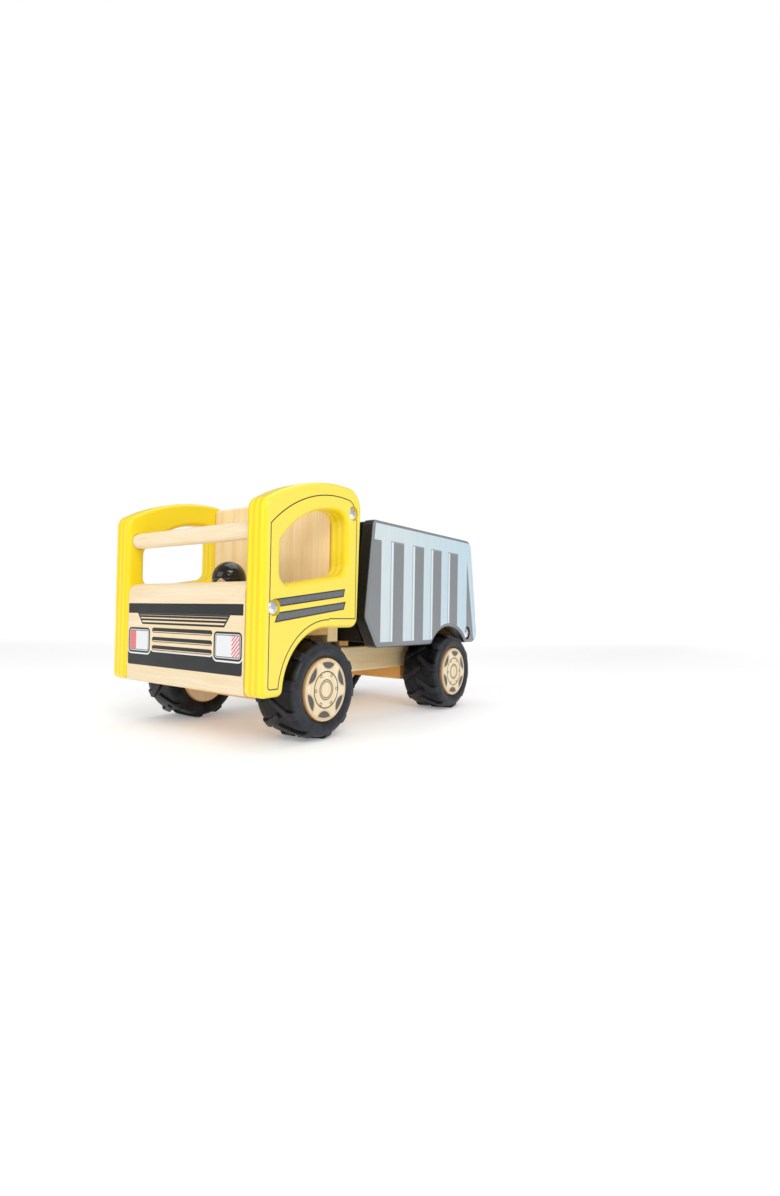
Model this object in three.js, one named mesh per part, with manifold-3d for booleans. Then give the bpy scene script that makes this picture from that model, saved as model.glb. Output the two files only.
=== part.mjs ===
// A wooden toy dump truck: plywood cab sides with window openings, a solid front block, a plank
// chassis on two axle blocks, four rubber-tyred wooden wheels, a peg driver, and a tipping bed
// with a swinging tailgate.
//
// Units are millimetres. +Z is up, the truck faces -Y, and its left side is +X. The origin is on
// the ground, midway along the truck's length and width.

import * as THREE from 'three';
import { mergeVertices } from 'three/addons/utils/BufferGeometryUtils.js';
import Module from 'manifold-3d';

const wasm = await Module();
wasm.setup();

// Fits
const GAP = 0.3;
const RUNNING_GAP = 0.4;

// Cab
const CAB_HALF_WIDTH = 84;
const PANEL = 18;
const CAB_INNER = CAB_HALF_WIDTH - PANEL;
const BOARD_HALF = CAB_INNER - GAP;
const CAB_FRONT_Y = -154;
const CAB_REAR_FOOT_Y = -58;
const CAB_REAR_TOP_Y = -55;
const CAB_BOTTOM_Z = 34.5;
const CAB_SKIRT_Z = 77.8;
const ROOF = { y: -77, z: 32, radius: 148 };
const WINDOW_TOP = { y: -83, z: 89.2, radius: 72 };
const WINDOW_FRONT_Y = -139.5;
const WINDOW_REAR_Y = -71.8;
const WINDOW_SILL_FRONT_Z = 104.8;
const WINDOW_SILL_REAR_Z = 116.2;
const PANEL_ROUNDING = 3;

// Wheels and axles
const WHEEL_RADIUS = 35;
const WHEEL_OUTER_X = 83.5;
const WHEEL_INNER_X = 45.5;
const HUB_RADIUS = 22.1;
const HUB_BOSS_X = 42.8;
const AXLE_RADIUS = 3;
const AXLE_BORE_END_X = 74;
const FRONT_AXLE_Y = -92;
const REAR_AXLE_Y = 94.5;
const CAB_ARCH_RADIUS = 42.8;

// Chassis
const CHASSIS_HALF = 40;
const CHASSIS_TOP_Z = 60;
const CHASSIS_BOTTOM_Z = 38.5;
const CHASSIS_REAR_Y = 141;
const AXLE_BLOCK_BOTTOM_Z = 26;
const AXLE_BLOCK_HALF_LENGTH = 26;

// Front block, cab floor and rear wall
const FRONT_BLOCK = { frontY: -152.8, rearY: -134.8, topZ: 108, rounding: 8 };
const REAR_WALL = { frontY: -71, rearY: -59, topZ: 176.5, wheelNotchZ: 66.8 };
const CAB_FLOOR = { bottomZ: 71.8, topZ: 79.8 };
const DOWEL = { y: -144.5, z: 141.2, radius: 6, depth: 8 };

// Screws
const CAB_SCREW = { head: 4.6, headHeight: 2.1, shank: 1.9, length: 34, recess: 2.4 };
const SCREW_HEAD_PLAY = 0.7;
const SCREW_CLEARANCE_DEPTH = 30;
const PIVOT_SCREW = { head: 5.8, headHeight: 2.4, shank: 3, length: 25, recess: 3 };
const FRONT_SCREW = { y: -144.5, z: 91 };
const REAR_SCREW = { y: -65, z: 161.5 };

// Driver
const DRIVER_Y = -110;
const DRIVER_RADIUS = 12.5;
const HEAD_RADIUS = 12.9;
const HEAD_Z = 113;
const NECK_RADIUS = 6;

// Bed
const BED_HALF_WIDTH = 78;
const BED_PANEL = 12;
const BED_INNER = BED_HALF_WIDTH - BED_PANEL;
const BED_BOARD_HALF = BED_INNER - GAP;
const BED_BOTTOM_Z = 61;
const BED_TOP_Z = 163;
const BED_ARCH_RADIUS = 42;
const BED_FLOOR = { bottomZ: 81, topZ: 89 };
const BED_WALL = 9;
const BED_ROUNDING = 2.5;
const BED_REAR_FOOT_Y = 155.9;
const BED_REAR_LEAN = THREE.MathUtils.degToRad(10);
const PIVOT = { y: 132.6, z: 70.5, blockRadius: 9.8, blockFront: 10.6 };
const BED_FRONT = { footY: -25, shoulderY: -41.2, shoulderZ: 85, topY: -31.5 };
const BED_FRONT_WALL = { footY: -39.6, topFrontY: -30.2, topRearY: -21.2, topZ: 162 };
const BED_FLOOR_FRONT_Y = BED_FRONT_WALL.footY + BED_WALL + 1.6;
const BATTEN = { frontY: -37.6, footY: -28, rearY: -8, topZ: BED_FLOOR.bottomZ - GAP };
const REST_TOP_Z = 65.2;
const REST = { frontY: -22, rearY: -10 };

// Tailgate, measured from its hinge pins
const GATE = { y: 134.5, z: 150, below: 71.5, above: 4.5, pinRadius: 2.5, pinDepth: 6 };

const COLOURS = {
  yellow: { color: 0xf2d21a, roughness: 0.35, metalness: 0 },
  palePine: { color: 0xf0dcae, roughness: 0.5, metalness: 0 },
  warmWood: { color: 0xe3bd83, roughness: 0.5, metalness: 0 },
  bedGrey: { color: 0x8b9094, roughness: 0.45, metalness: 0 },
  bedBlack: { color: 0x1d1c1e, roughness: 0.5, metalness: 0 },
  rubber: { color: 0x2b2b2d, roughness: 0.7, metalness: 0 },
  steel: { color: 0xd8d9db, roughness: 0.25, metalness: 1 },
  washer: { color: 0xe8e4d8, roughness: 0.5, metalness: 0 },
  driverCoat: { color: 0x2f5f8f, roughness: 0.4, metalness: 0 },
  driverHair: { color: 0x161213, roughness: 0.15, metalness: 0 },
};

const truck = new THREE.Group();

/** Adds one named piece to the truck. */
function addPiece(name, geometry, finish) {
  const mesh = new THREE.Mesh(geometry, new THREE.MeshStandardMaterial(finish));
  mesh.name = name;
  truck.add(mesh);
}

/** Adds a left piece and its mirror image on the right. */
function addPair(name, geometry, finish) {
  addPiece(`${name}_left`, geometry, finish);
  addPiece(`${name}_right`, mirrored(geometry), finish);
}

/** Points along an arc in a side view, about 10 degrees apart. */
function arcPoints(centreY, centreZ, radius, startAngle, endAngle) {
  const steps = Math.max(2, Math.ceil(Math.abs(endAngle - startAngle) / THREE.MathUtils.degToRad(12)));
  const points = [];
  for (let step = 0; step <= steps; step += 1) {
    const angle = THREE.MathUtils.lerp(startAngle, endAngle, step / steps);
    points.push([centreY + radius * Math.cos(angle), centreZ + radius * Math.sin(angle)]);
  }
  return points;
}

/** Height of a circle's upper half at a given Y. */
function circleTopZ(circle, y) {
  return circle.z + Math.sqrt(circle.radius ** 2 - (y - circle.y) ** 2);
}

/** A side-view outline from corners [y, z, radius], each rounded to its radius. */
function roundedOutline(corners) {
  const points = [];
  corners.forEach(([y, z, radius = 0], index) => {
    const corner = new THREE.Vector2(y, z);
    if (radius === 0) {
      points.push(corner);
      return;
    }
    const previous = corners.at(index - 1);
    const next = corners[(index + 1) % corners.length];
    const back = new THREE.Vector2(previous[0], previous[1]).sub(corner).normalize();
    const ahead = new THREE.Vector2(next[0], next[1]).sub(corner).normalize();
    const halfAngle = Math.acos(back.dot(ahead)) / 2;
    const middle = back.clone().add(ahead).normalize();
    const centre = corner.clone().addScaledVector(middle, radius / Math.sin(halfAngle));
    const start = corner.clone().addScaledVector(back, radius / Math.tan(halfAngle)).sub(centre).angle();
    const end = corner.clone().addScaledVector(ahead, radius / Math.tan(halfAngle)).sub(centre).angle();
    let sweep = end - start;
    sweep -= 2 * Math.PI * Math.round(sweep / (2 * Math.PI));
    const arc = arcPoints(centre.x, centre.y, radius, start, start + sweep);
    points.push(...arc.map(([arcY, arcZ]) => new THREE.Vector2(arcY, arcZ)));
  });
  return points;
}

/** A board: a side-view outline given a width along X, with its edges eased all round. */
function board(corners, lowX, highX, easing = 1, openings = []) {
  const shape = new THREE.Shape(roundedOutline(corners));
  shape.holes = openings.map((opening) => new THREE.Path(roundedOutline(opening)));
  const geometry = new THREE.ExtrudeGeometry(shape, {
    depth: highX - lowX - 2 * easing,
    bevelEnabled: true,
    bevelThickness: easing,
    bevelSize: easing,
    bevelOffset: -easing,
    bevelSegments: 1,
  });
  const sideways = new THREE.Matrix4().makeBasis(
    new THREE.Vector3(0, 1, 0),
    new THREE.Vector3(0, 0, 1),
    new THREE.Vector3(1, 0, 0),
  );
  return closed(geometry).applyMatrix4(sideways).translate(lowX + easing, 0, 0);
}

/** Corners of a plain rectangle seen from the side. */
function rectangle(lowY, highY, lowZ, highZ, radius = 0) {
  return [[lowY, lowZ, radius], [highY, lowZ, radius], [highY, highZ, radius], [lowY, highZ, radius]];
}

/** A turned piece whose axis is X: the profile is a list of [x, radius], low X first. */
function turned(profile, segments, y, z) {
  const points = profile.map(([x, radius]) => new THREE.Vector2(radius, x));
  const geometry = closed(new THREE.LatheGeometry(points, segments));
  return geometry.rotateZ(-Math.PI / 2).translate(0, y, z);
}

/** A turned piece whose axis is upright: the profile is a list of [z, radius], low Z first. */
function turnedUpright(profile, segments, y) {
  const points = profile.map(([z, radius]) => new THREE.Vector2(radius, z));
  return closed(new THREE.LatheGeometry(points, segments)).rotateX(Math.PI / 2).translate(0, y, 0);
}

/** A straight round pin or drill along X. */
function pin(lowX, highX, radius, y, z, segments = 24) {
  return turned([[lowX, 0], [lowX, radius], [highX, radius], [highX, 0]], segments, y, z);
}

/** The same surface with its shared corners merged and its collapsed triangles left out. */
function closed(geometry) {
  geometry.deleteAttribute('normal');
  geometry.deleteAttribute('uv');
  const merged = mergeVertices(geometry, 1e-4);
  const corners = merged.getIndex().array;
  const kept = [];
  for (let start = 0; start < corners.length; start += 3) {
    const [a, b, c] = corners.subarray(start, start + 3);
    if (a !== b && b !== c && c !== a) {
      kept.push(a, b, c);
    }
  }
  merged.setIndex(kept);
  return merged;
}

/** The mirror image across X = 0, with its faces turned outwards again. */
function mirrored(geometry) {
  const copy = geometry.clone().scale(-1, 1, 1);
  const index = copy.getIndex();
  for (let corner = 0; corner < index.count; corner += 3) {
    const first = index.getX(corner);
    index.setX(corner, index.getX(corner + 1));
    index.setX(corner + 1, first);
  }
  return copy;
}

/** A geometry as a solid that can be cut. */
function solidOf(geometry) {
  const vertProperties = new Float32Array(geometry.getAttribute('position').array);
  const triVerts = new Uint32Array(geometry.getIndex().array);
  return new wasm.Manifold(new wasm.Mesh({ numProp: 3, vertProperties, triVerts }));
}

/** A geometry with the given tools cut out of it. */
function cut(geometry, tools) {
  const result = tools.reduce((solid, tool) => solid.subtract(solidOf(tool)), solidOf(geometry));
  const mesh = result.getMesh();
  const answer = new THREE.BufferGeometry();
  answer.setAttribute('position', new THREE.BufferAttribute(mesh.vertProperties, 3));
  answer.setIndex(new THREE.BufferAttribute(mesh.triVerts, 1));
  return answer;
}

/** A truss-head screw along X on the left side, its head sunk just below the panel's face. */
function screw(kind, faceX, y, z) {
  const seatX = faceX - kind.recess + GAP;
  const domeX = seatX + kind.headHeight;
  return turned([
    [seatX - kind.length, 0],
    [seatX - kind.length + kind.shank, kind.shank],
    [seatX, kind.shank],
    [seatX, kind.head],
    [seatX + kind.headHeight * 0.4, kind.head],
    [domeX - kind.headHeight * 0.2, kind.head * 0.65],
    [domeX, 0],
  ], 16, y, z);
}

/** The hole and head recess that take a screw from the left face of a panel. */
function screwTools(kind, faceX, y, z) {
  return [
    pin(faceX - kind.recess, faceX + 1, kind.head + SCREW_HEAD_PLAY, y, z),
    pin(faceX - SCREW_CLEARANCE_DEPTH, faceX + 1, kind.shank + RUNNING_GAP, y, z, 16),
  ];
}

/** Blind pilot holes for one kind of screw in both ends of a cross board. */
function pilotHoles(kind, faceX, y, z) {
  const hole = pin(faceX - kind.recess - kind.length, faceX, kind.shank + RUNNING_GAP, y, z, 16);
  return [hole, mirrored(hole)];
}

function buildCabSides() {
  const roof = [];
  for (let y = CAB_FRONT_Y + 12; y < ROOF.y; y += 13) {
    roof.unshift([y, circleTopZ(ROOF, y)]);
  }
  const arch = arcPoints(FRONT_AXLE_Y, WHEEL_RADIUS, CAB_ARCH_RADIUS, Math.PI, Math.PI / 2).slice(1);
  const outline = [
    [CAB_FRONT_Y, CAB_BOTTOM_Z, 4.5],
    [FRONT_AXLE_Y - CAB_ARCH_RADIUS, CAB_BOTTOM_Z, 4.5],
    ...arch,
    [CAB_REAR_FOOT_Y, CAB_SKIRT_Z, 7],
    [CAB_REAR_TOP_Y, circleTopZ(ROOF, ROOF.y), 15],
    [ROOF.y, circleTopZ(ROOF, ROOF.y)],
    ...roof,
    [CAB_FRONT_Y, circleTopZ(ROOF, CAB_FRONT_Y), 9],
  ];
  const windowTop = [];
  for (let y = WINDOW_FRONT_Y + 9; y < WINDOW_TOP.y + 1; y += 9) {
    windowTop.push([y, circleTopZ(WINDOW_TOP, y)]);
  }
  const opening = [
    [WINDOW_FRONT_Y, WINDOW_SILL_FRONT_Z, 8],
    [WINDOW_FRONT_Y, circleTopZ(WINDOW_TOP, WINDOW_FRONT_Y), 6],
    ...windowTop,
    [WINDOW_REAR_Y, circleTopZ(WINDOW_TOP, WINDOW_REAR_Y), 10],
    [WINDOW_REAR_Y, WINDOW_SILL_REAR_Z, 9],
  ];
  const side = cut(board(outline, CAB_INNER, CAB_HALF_WIDTH, PANEL_ROUNDING, [opening]), [
    pin(CAB_INNER - 1, CAB_INNER + DOWEL.depth, DOWEL.radius + GAP, DOWEL.y, DOWEL.z),
    ...screwTools(CAB_SCREW, CAB_HALF_WIDTH, FRONT_SCREW.y, FRONT_SCREW.z),
    ...screwTools(CAB_SCREW, CAB_HALF_WIDTH, REAR_SCREW.y, REAR_SCREW.z),
  ]);
  addPair('cab_side', side, COLOURS.yellow);
  addPair('front_screw', screw(CAB_SCREW, CAB_HALF_WIDTH, FRONT_SCREW.y, FRONT_SCREW.z), COLOURS.steel);
  addPair('rear_screw', screw(CAB_SCREW, CAB_HALF_WIDTH, REAR_SCREW.y, REAR_SCREW.z), COLOURS.steel);
}

function buildCabBoards() {
  const { frontY, rearY, topZ, rounding } = FRONT_BLOCK;
  const frontBlock = board([
    [frontY, CAB_BOTTOM_Z, 2],
    [rearY, CAB_BOTTOM_Z, 2],
    [rearY, topZ, 3],
    [frontY, topZ, rounding],
  ], -BOARD_HALF, BOARD_HALF);
  const frontPilots = pilotHoles(CAB_SCREW, CAB_HALF_WIDTH, FRONT_SCREW.y, FRONT_SCREW.z);
  addPiece('front_block', cut(frontBlock, frontPilots), COLOURS.palePine);

  const wall = rectangle(REAR_WALL.frontY, REAR_WALL.rearY, CHASSIS_TOP_Z + GAP, REAR_WALL.topZ, 2);
  const notchSize = 40;
  const wheelNotch = new THREE.BoxGeometry(notchSize, notchSize, notchSize);
  wheelNotch.translate(CHASSIS_HALF + notchSize / 2, REAR_WALL.rearY, REAR_WALL.wheelNotchZ - notchSize / 2);
  const notch = closed(wheelNotch);
  const rearWall = cut(board(wall, -BOARD_HALF, BOARD_HALF), [
    notch,
    mirrored(notch),
    ...pilotHoles(CAB_SCREW, CAB_HALF_WIDTH, REAR_SCREW.y, REAR_SCREW.z),
  ]);
  addPiece('cab_rear_wall', rearWall, COLOURS.warmWood);

  const floorFrontY = rearY + GAP;
  const floorRearY = REAR_WALL.frontY - GAP;
  const floorOutline = rectangle(floorFrontY, floorRearY, CAB_FLOOR.bottomZ, CAB_FLOOR.topZ);
  const floor = board(floorOutline, -BOARD_HALF, BOARD_HALF, 0.5);
  const seatHole = new THREE.CylinderGeometry(DRIVER_RADIUS + 0.6, DRIVER_RADIUS + 0.6, 30, 32);
  seatHole.rotateX(Math.PI / 2).translate(0, DRIVER_Y, CAB_FLOOR.topZ);
  addPiece('cab_floor', cut(floor, [closed(seatHole)]), COLOURS.warmWood);

  const packer = rectangle(floorFrontY, floorRearY, CHASSIS_TOP_Z + GAP, CAB_FLOOR.bottomZ - GAP);
  addPiece('cab_floor_packer', board(packer, -CHASSIS_HALF + 2, CHASSIS_HALF - 2), COLOURS.warmWood);

  const dowelEnd = CAB_INNER + DOWEL.depth - GAP;
  addPiece('windscreen_dowel', pin(-dowelEnd, dowelEnd, DOWEL.radius, DOWEL.y, DOWEL.z), COLOURS.palePine);
}

function buildChassis() {
  const beam = rectangle(FRONT_BLOCK.rearY + GAP, CHASSIS_REAR_Y, CHASSIS_BOTTOM_Z, CHASSIS_TOP_Z, 1.5);
  addPiece('chassis_beam', board(beam, -CHASSIS_HALF, CHASSIS_HALF), COLOURS.warmWood);

  for (const [name, axleY] of [['front', FRONT_AXLE_Y], ['rear', REAR_AXLE_Y]]) {
    const topZ = CHASSIS_BOTTOM_Z - GAP;
    const slot = AXLE_RADIUS + RUNNING_GAP;
    const groove = arcPoints(axleY, WHEEL_RADIUS, slot, 0, -Math.PI);
    const block = [
      [axleY - AXLE_BLOCK_HALF_LENGTH, AXLE_BLOCK_BOTTOM_Z, 2],
      [axleY + AXLE_BLOCK_HALF_LENGTH, AXLE_BLOCK_BOTTOM_Z, 2],
      [axleY + AXLE_BLOCK_HALF_LENGTH, topZ],
      [axleY + slot, topZ],
      ...groove,
      [axleY - slot, topZ],
      [axleY - AXLE_BLOCK_HALF_LENGTH, topZ],
    ];
    addPiece(`${name}_axle_block`, board(block, -CHASSIS_HALF, CHASSIS_HALF, 0.4), COLOURS.warmWood);
  }

  const rest = rectangle(REST.frontY, REST.rearY, CHASSIS_TOP_Z + GAP, REST_TOP_Z);
  addPiece('bed_rest', board(rest, -CHASSIS_HALF + 2, CHASSIS_HALF - 2, 0.5), COLOURS.warmWood);

  const roundBack = arcPoints(PIVOT.y, PIVOT.z, PIVOT.blockRadius, 0, Math.PI / 2);
  const pivotBlock = board([
    [PIVOT.y - PIVOT.blockFront, CHASSIS_TOP_Z + GAP, 1],
    [PIVOT.y + PIVOT.blockRadius, CHASSIS_TOP_Z + GAP, 1],
    ...roundBack,
    [PIVOT.y - PIVOT.blockFront, PIVOT.z + PIVOT.blockRadius, 2],
  ], -BED_BOARD_HALF + 0.2, BED_BOARD_HALF - 0.2, 0.5);
  const pilots = pilotHoles(PIVOT_SCREW, BED_HALF_WIDTH, PIVOT.y, PIVOT.z);
  addPiece('bed_pivot_block', cut(pivotBlock, pilots), COLOURS.warmWood);
  addPair('bed_pivot_screw', screw(PIVOT_SCREW, BED_HALF_WIDTH, PIVOT.y, PIVOT.z), COLOURS.steel);
}

function buildAxleSet(name, axleY) {
  const axleEnd = AXLE_BORE_END_X - GAP;
  addPiece(`${name}_axle`, pin(-axleEnd, axleEnd, AXLE_RADIUS, axleY, WHEEL_RADIUS, 16), COLOURS.steel);

  const washer = turned([
    [CHASSIS_HALF + RUNNING_GAP, AXLE_RADIUS + GAP],
    [CHASSIS_HALF + RUNNING_GAP, 7],
    [HUB_BOSS_X - RUNNING_GAP, 7],
    [HUB_BOSS_X - RUNNING_GAP, AXLE_RADIUS + GAP],
    [CHASSIS_HALF + RUNNING_GAP, AXLE_RADIUS + GAP],
  ], 20, axleY, WHEEL_RADIUS);
  addPair(`${name}_axle_washer`, washer, COLOURS.washer);

  const hub = turned([
    [AXLE_BORE_END_X, 0],
    [AXLE_BORE_END_X, AXLE_RADIUS + GAP],
    [HUB_BOSS_X, AXLE_RADIUS + GAP],
    [HUB_BOSS_X, 9],
    [WHEEL_INNER_X + 0.8, 9.5],
    [WHEEL_INNER_X + 0.8, HUB_RADIUS - 1],
    [WHEEL_INNER_X + 1.8, HUB_RADIUS],
    [WHEEL_OUTER_X - 1.8, HUB_RADIUS],
    [WHEEL_OUTER_X - 0.8, HUB_RADIUS - 1],
    [WHEEL_OUTER_X - 0.8, 0],
  ], 40, axleY, WHEEL_RADIUS);
  addPair(`${name}_hub`, hub, COLOURS.palePine);

  const seat = HUB_RADIUS + GAP;
  const tyre = turned([
    [WHEEL_INNER_X + 0.8, seat],
    [WHEEL_INNER_X, seat + 2.5],
    [WHEEL_INNER_X, WHEEL_RADIUS - 4.5],
    [WHEEL_INNER_X + 3.5, WHEEL_RADIUS],
    [WHEEL_OUTER_X - 3.5, WHEEL_RADIUS],
    [WHEEL_OUTER_X, WHEEL_RADIUS - 4.5],
    [WHEEL_OUTER_X, seat + 2.5],
    [WHEEL_OUTER_X - 0.8, seat],
    [WHEEL_INNER_X + 0.8, seat],
  ], 40, axleY, WHEEL_RADIUS);
  addPair(`${name}_tyre`, tyre, COLOURS.rubber);
}

function buildDriver() {
  const footZ = CAB_FLOOR.bottomZ;
  const neckZ = HEAD_Z - Math.sqrt(HEAD_RADIUS ** 2 - NECK_RADIUS ** 2);
  const body = turnedUpright([
    [footZ, 0],
    [footZ, DRIVER_RADIUS - 0.8],
    [footZ + 0.8, DRIVER_RADIUS],
    [CAB_FLOOR.topZ + 6, DRIVER_RADIUS],
    [neckZ - 7, DRIVER_RADIUS - 1.6],
    [neckZ - 2.5, DRIVER_RADIUS - 3.4],
    [neckZ - GAP, NECK_RADIUS],
    [neckZ - GAP, 0],
  ], 28, DRIVER_Y);
  addPiece('driver_body', body, COLOURS.driverCoat);

  const ball = [[neckZ, 0]];
  const lowest = -Math.acos(NECK_RADIUS / HEAD_RADIUS);
  for (let step = 0; step <= 12; step += 1) {
    const angle = THREE.MathUtils.lerp(lowest, Math.PI / 2, step / 12);
    ball.push([HEAD_Z + HEAD_RADIUS * Math.sin(angle), step === 12 ? 0 : HEAD_RADIUS * Math.cos(angle)]);
  }
  addPiece('driver_head', turnedUpright(ball, 28, DRIVER_Y), COLOURS.driverHair);
}

function buildBed() {
  const rearY = (z) => BED_REAR_FOOT_Y - (z - BED_BOTTOM_Z) * Math.tan(BED_REAR_LEAN);
  const chord = Math.asin((BED_BOTTOM_Z - WHEEL_RADIUS) / BED_ARCH_RADIUS);
  const arch = arcPoints(REAR_AXLE_Y, WHEEL_RADIUS, BED_ARCH_RADIUS, Math.PI - chord, chord);
  const foot = BED_ARCH_RADIUS * Math.cos(chord);
  const outline = [
    [BED_FRONT.footY, BED_BOTTOM_Z, 6],
    [REAR_AXLE_Y - foot, BED_BOTTOM_Z, 4],
    ...arch.slice(1, -1),
    [REAR_AXLE_Y + foot, BED_BOTTOM_Z, 4],
    [rearY(BED_BOTTOM_Z), BED_BOTTOM_Z, 10],
    [rearY(BED_TOP_Z), BED_TOP_Z, 9],
    [BED_FRONT.topY, BED_TOP_Z, 5],
    [BED_FRONT.shoulderY, BED_FRONT.shoulderZ, 9],
  ];
  const side = cut(board(outline, BED_INNER, BED_HALF_WIDTH, BED_ROUNDING), [
    ...screwTools(PIVOT_SCREW, BED_HALF_WIDTH, PIVOT.y, PIVOT.z),
    pin(BED_INNER - 1, BED_INNER + GATE.pinDepth, GATE.pinRadius + RUNNING_GAP, GATE.y, GATE.z),
  ]);
  addPair('bed_side', side, COLOURS.bedGrey);

  const frontWall = [
    [BED_FRONT_WALL.footY, BED_FLOOR.bottomZ],
    [BED_FRONT_WALL.footY + BED_WALL, BED_FLOOR.bottomZ],
    [BED_FRONT_WALL.topRearY, BED_FRONT_WALL.topZ, 2],
    [BED_FRONT_WALL.topFrontY, BED_FRONT_WALL.topZ, 2],
  ];
  addPiece('bed_front_wall', board(frontWall, -BED_BOARD_HALF, BED_BOARD_HALF), COLOURS.bedBlack);

  const batten = [
    [BATTEN.footY, REST_TOP_Z + GAP, 1],
    [BATTEN.rearY, REST_TOP_Z + GAP, 1],
    [BATTEN.rearY, BATTEN.topZ],
    [BATTEN.frontY, BATTEN.topZ],
  ];
  addPiece('bed_batten', board(batten, -BED_BOARD_HALF, BED_BOARD_HALF, 0.6), COLOURS.bedBlack);

  const lean = Math.tan(BED_REAR_LEAN);
  const gateInnerY = (z) => GATE.y + (GATE.z - z) * lean - (GATE.above + GAP) / Math.cos(BED_REAR_LEAN);
  const floor = [
    [BED_FLOOR_FRONT_Y, BED_FLOOR.bottomZ],
    [gateInnerY(BED_FLOOR.bottomZ), BED_FLOOR.bottomZ],
    [gateInnerY(BED_FLOOR.topZ), BED_FLOOR.topZ],
    [BED_FLOOR_FRONT_Y, BED_FLOOR.topZ],
  ];
  addPiece('bed_floor', board(floor, -BED_BOARD_HALF, BED_BOARD_HALF, 0.5), COLOURS.bedBlack);
}

function buildTailgate() {
  const half = GATE.above;
  const crown = arcPoints(0, 0, half, 0, Math.PI);
  const outline = [[-half, -GATE.below, 1.5], [half, -GATE.below, 1.5], ...crown];
  const gateHalf = BED_INNER - 0.8;
  const hole = pin(gateHalf - 12, gateHalf + 1, GATE.pinRadius + 0.1, 0, 0, 16);
  const panel = cut(board(outline, -gateHalf, gateHalf, 1), [hole, mirrored(hole)]);
  addPiece('tailgate', panel.rotateX(BED_REAR_LEAN).translate(0, GATE.y, GATE.z), COLOURS.bedGrey);

  const pinEnd = BED_INNER + GATE.pinDepth - RUNNING_GAP;
  const hingePin = pin(gateHalf - 11.7, pinEnd, GATE.pinRadius - 0.2, GATE.y, GATE.z, 16);
  addPair('tailgate_pin', hingePin, COLOURS.steel);
}

buildCabSides();
buildCabBoards();
buildChassis();
buildAxleSet('front', FRONT_AXLE_Y);
buildAxleSet('rear', REAR_AXLE_Y);
buildDriver();
buildBed();
buildTailgate();

export default truck;
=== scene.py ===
"""Looks of a wooden toy dump truck, built round its fixed frame.

Lengths are in metres in the frame's own axes: +Z is up, the truck faces -Y, and its left side is +X.
The sizes below are written in millimetres times MM.
"""

import logging
import math
from contextlib import contextmanager
from dataclasses import dataclass
from enum import Enum
from typing import Callable, Iterator, Sequence

import bmesh
import bpy
from mathutils import Matrix, Vector


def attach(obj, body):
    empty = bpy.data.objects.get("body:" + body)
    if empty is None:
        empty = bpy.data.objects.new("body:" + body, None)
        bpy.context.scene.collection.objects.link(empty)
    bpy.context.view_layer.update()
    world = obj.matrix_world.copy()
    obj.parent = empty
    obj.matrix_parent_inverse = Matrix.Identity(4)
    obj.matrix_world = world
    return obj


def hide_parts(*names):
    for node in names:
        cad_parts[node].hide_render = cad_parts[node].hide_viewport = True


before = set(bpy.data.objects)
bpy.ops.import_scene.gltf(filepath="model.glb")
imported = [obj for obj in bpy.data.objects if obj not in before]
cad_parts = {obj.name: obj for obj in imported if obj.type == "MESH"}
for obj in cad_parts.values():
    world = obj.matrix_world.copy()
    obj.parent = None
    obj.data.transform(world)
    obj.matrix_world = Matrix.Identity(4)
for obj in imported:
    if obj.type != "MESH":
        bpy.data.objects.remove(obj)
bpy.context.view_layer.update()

MM = 0.001

# Places that several pieces share, in millimetres.
FRONT_AXLE_Y, REAR_AXLE_Y, AXLE_Z = -92.0, 94.5, 35.0
PIVOT_Y, PIVOT_Z = 132.6, 70.5
HINGE_Y, HINGE_Z = 134.5, 150.0
RAIL_Y, RAIL_Z = -144.5, 141.2
DRIVER_Y, DRIVER_HEAD_Z = -110.0, 113.0
CAB_FACE_X, BED_FACE_X = 84.0, 78.0
BOARD_END_X = 65.7
CHASSIS_TOP, CHASSIS_HALF_WIDTH = 60.0, 40.0
HUB_RADIUS = 22.1
TAIL_LEAN = 10.0

# How a screen channel turns into a linear one.
SCREEN_KNEE, SCREEN_SLOPE, SCREEN_OFFSET, SCREEN_POWER = 0.04045, 12.92, 0.055, 2.4

log = logging.getLogger("toy_truck")

Point = tuple[float, float]
Corner = tuple[float, ...]
Colour = tuple[float, float, float, float]
Node = bpy.types.Node
Socket = bpy.types.NodeSocket
Piece = bpy.types.Object
Finish = bpy.types.Material
Tree = bpy.types.NodeTree


class Side(Enum):
    """The truck's two sides, each with the sign of its X."""

    LEFT = 1
    RIGHT = -1

    @property
    def label(self) -> str:
        """The side's ending in piece names."""
        return self.name.lower()


class Along(Enum):
    """The axis that a board's grain runs along."""

    X = 0
    Y = 1
    Z = 2


# ---------------------------------------------------------------------------------------------
# Drawing outlines
# ---------------------------------------------------------------------------------------------


def arc(centre: Point, radius: float, start: float, end: float, step: float = 6.0) -> list[Point]:
    """Points along an arc.

    Args:
        centre: The arc's centre.
        radius: Its radius.
        start: The first angle in degrees, from the first axis towards the second.
        end: The last angle in degrees.
        step: The largest angle between neighbouring points.

    Returns:
        The points in order, both ends included.
    """
    count = max(2, math.ceil(abs(end - start) / step))
    angles = (math.radians(start + (end - start) * i / count) for i in range(count + 1))
    return [(centre[0] + radius * math.cos(a), centre[1] + radius * math.sin(a)) for a in angles]


def height_on(circle: tuple[float, float, float], along: float) -> float:
    """Height of a circle's upper half at one place along it."""
    centre_y, centre_z, radius = circle
    return centre_z + math.sqrt(radius**2 - (along - centre_y) ** 2)


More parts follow.
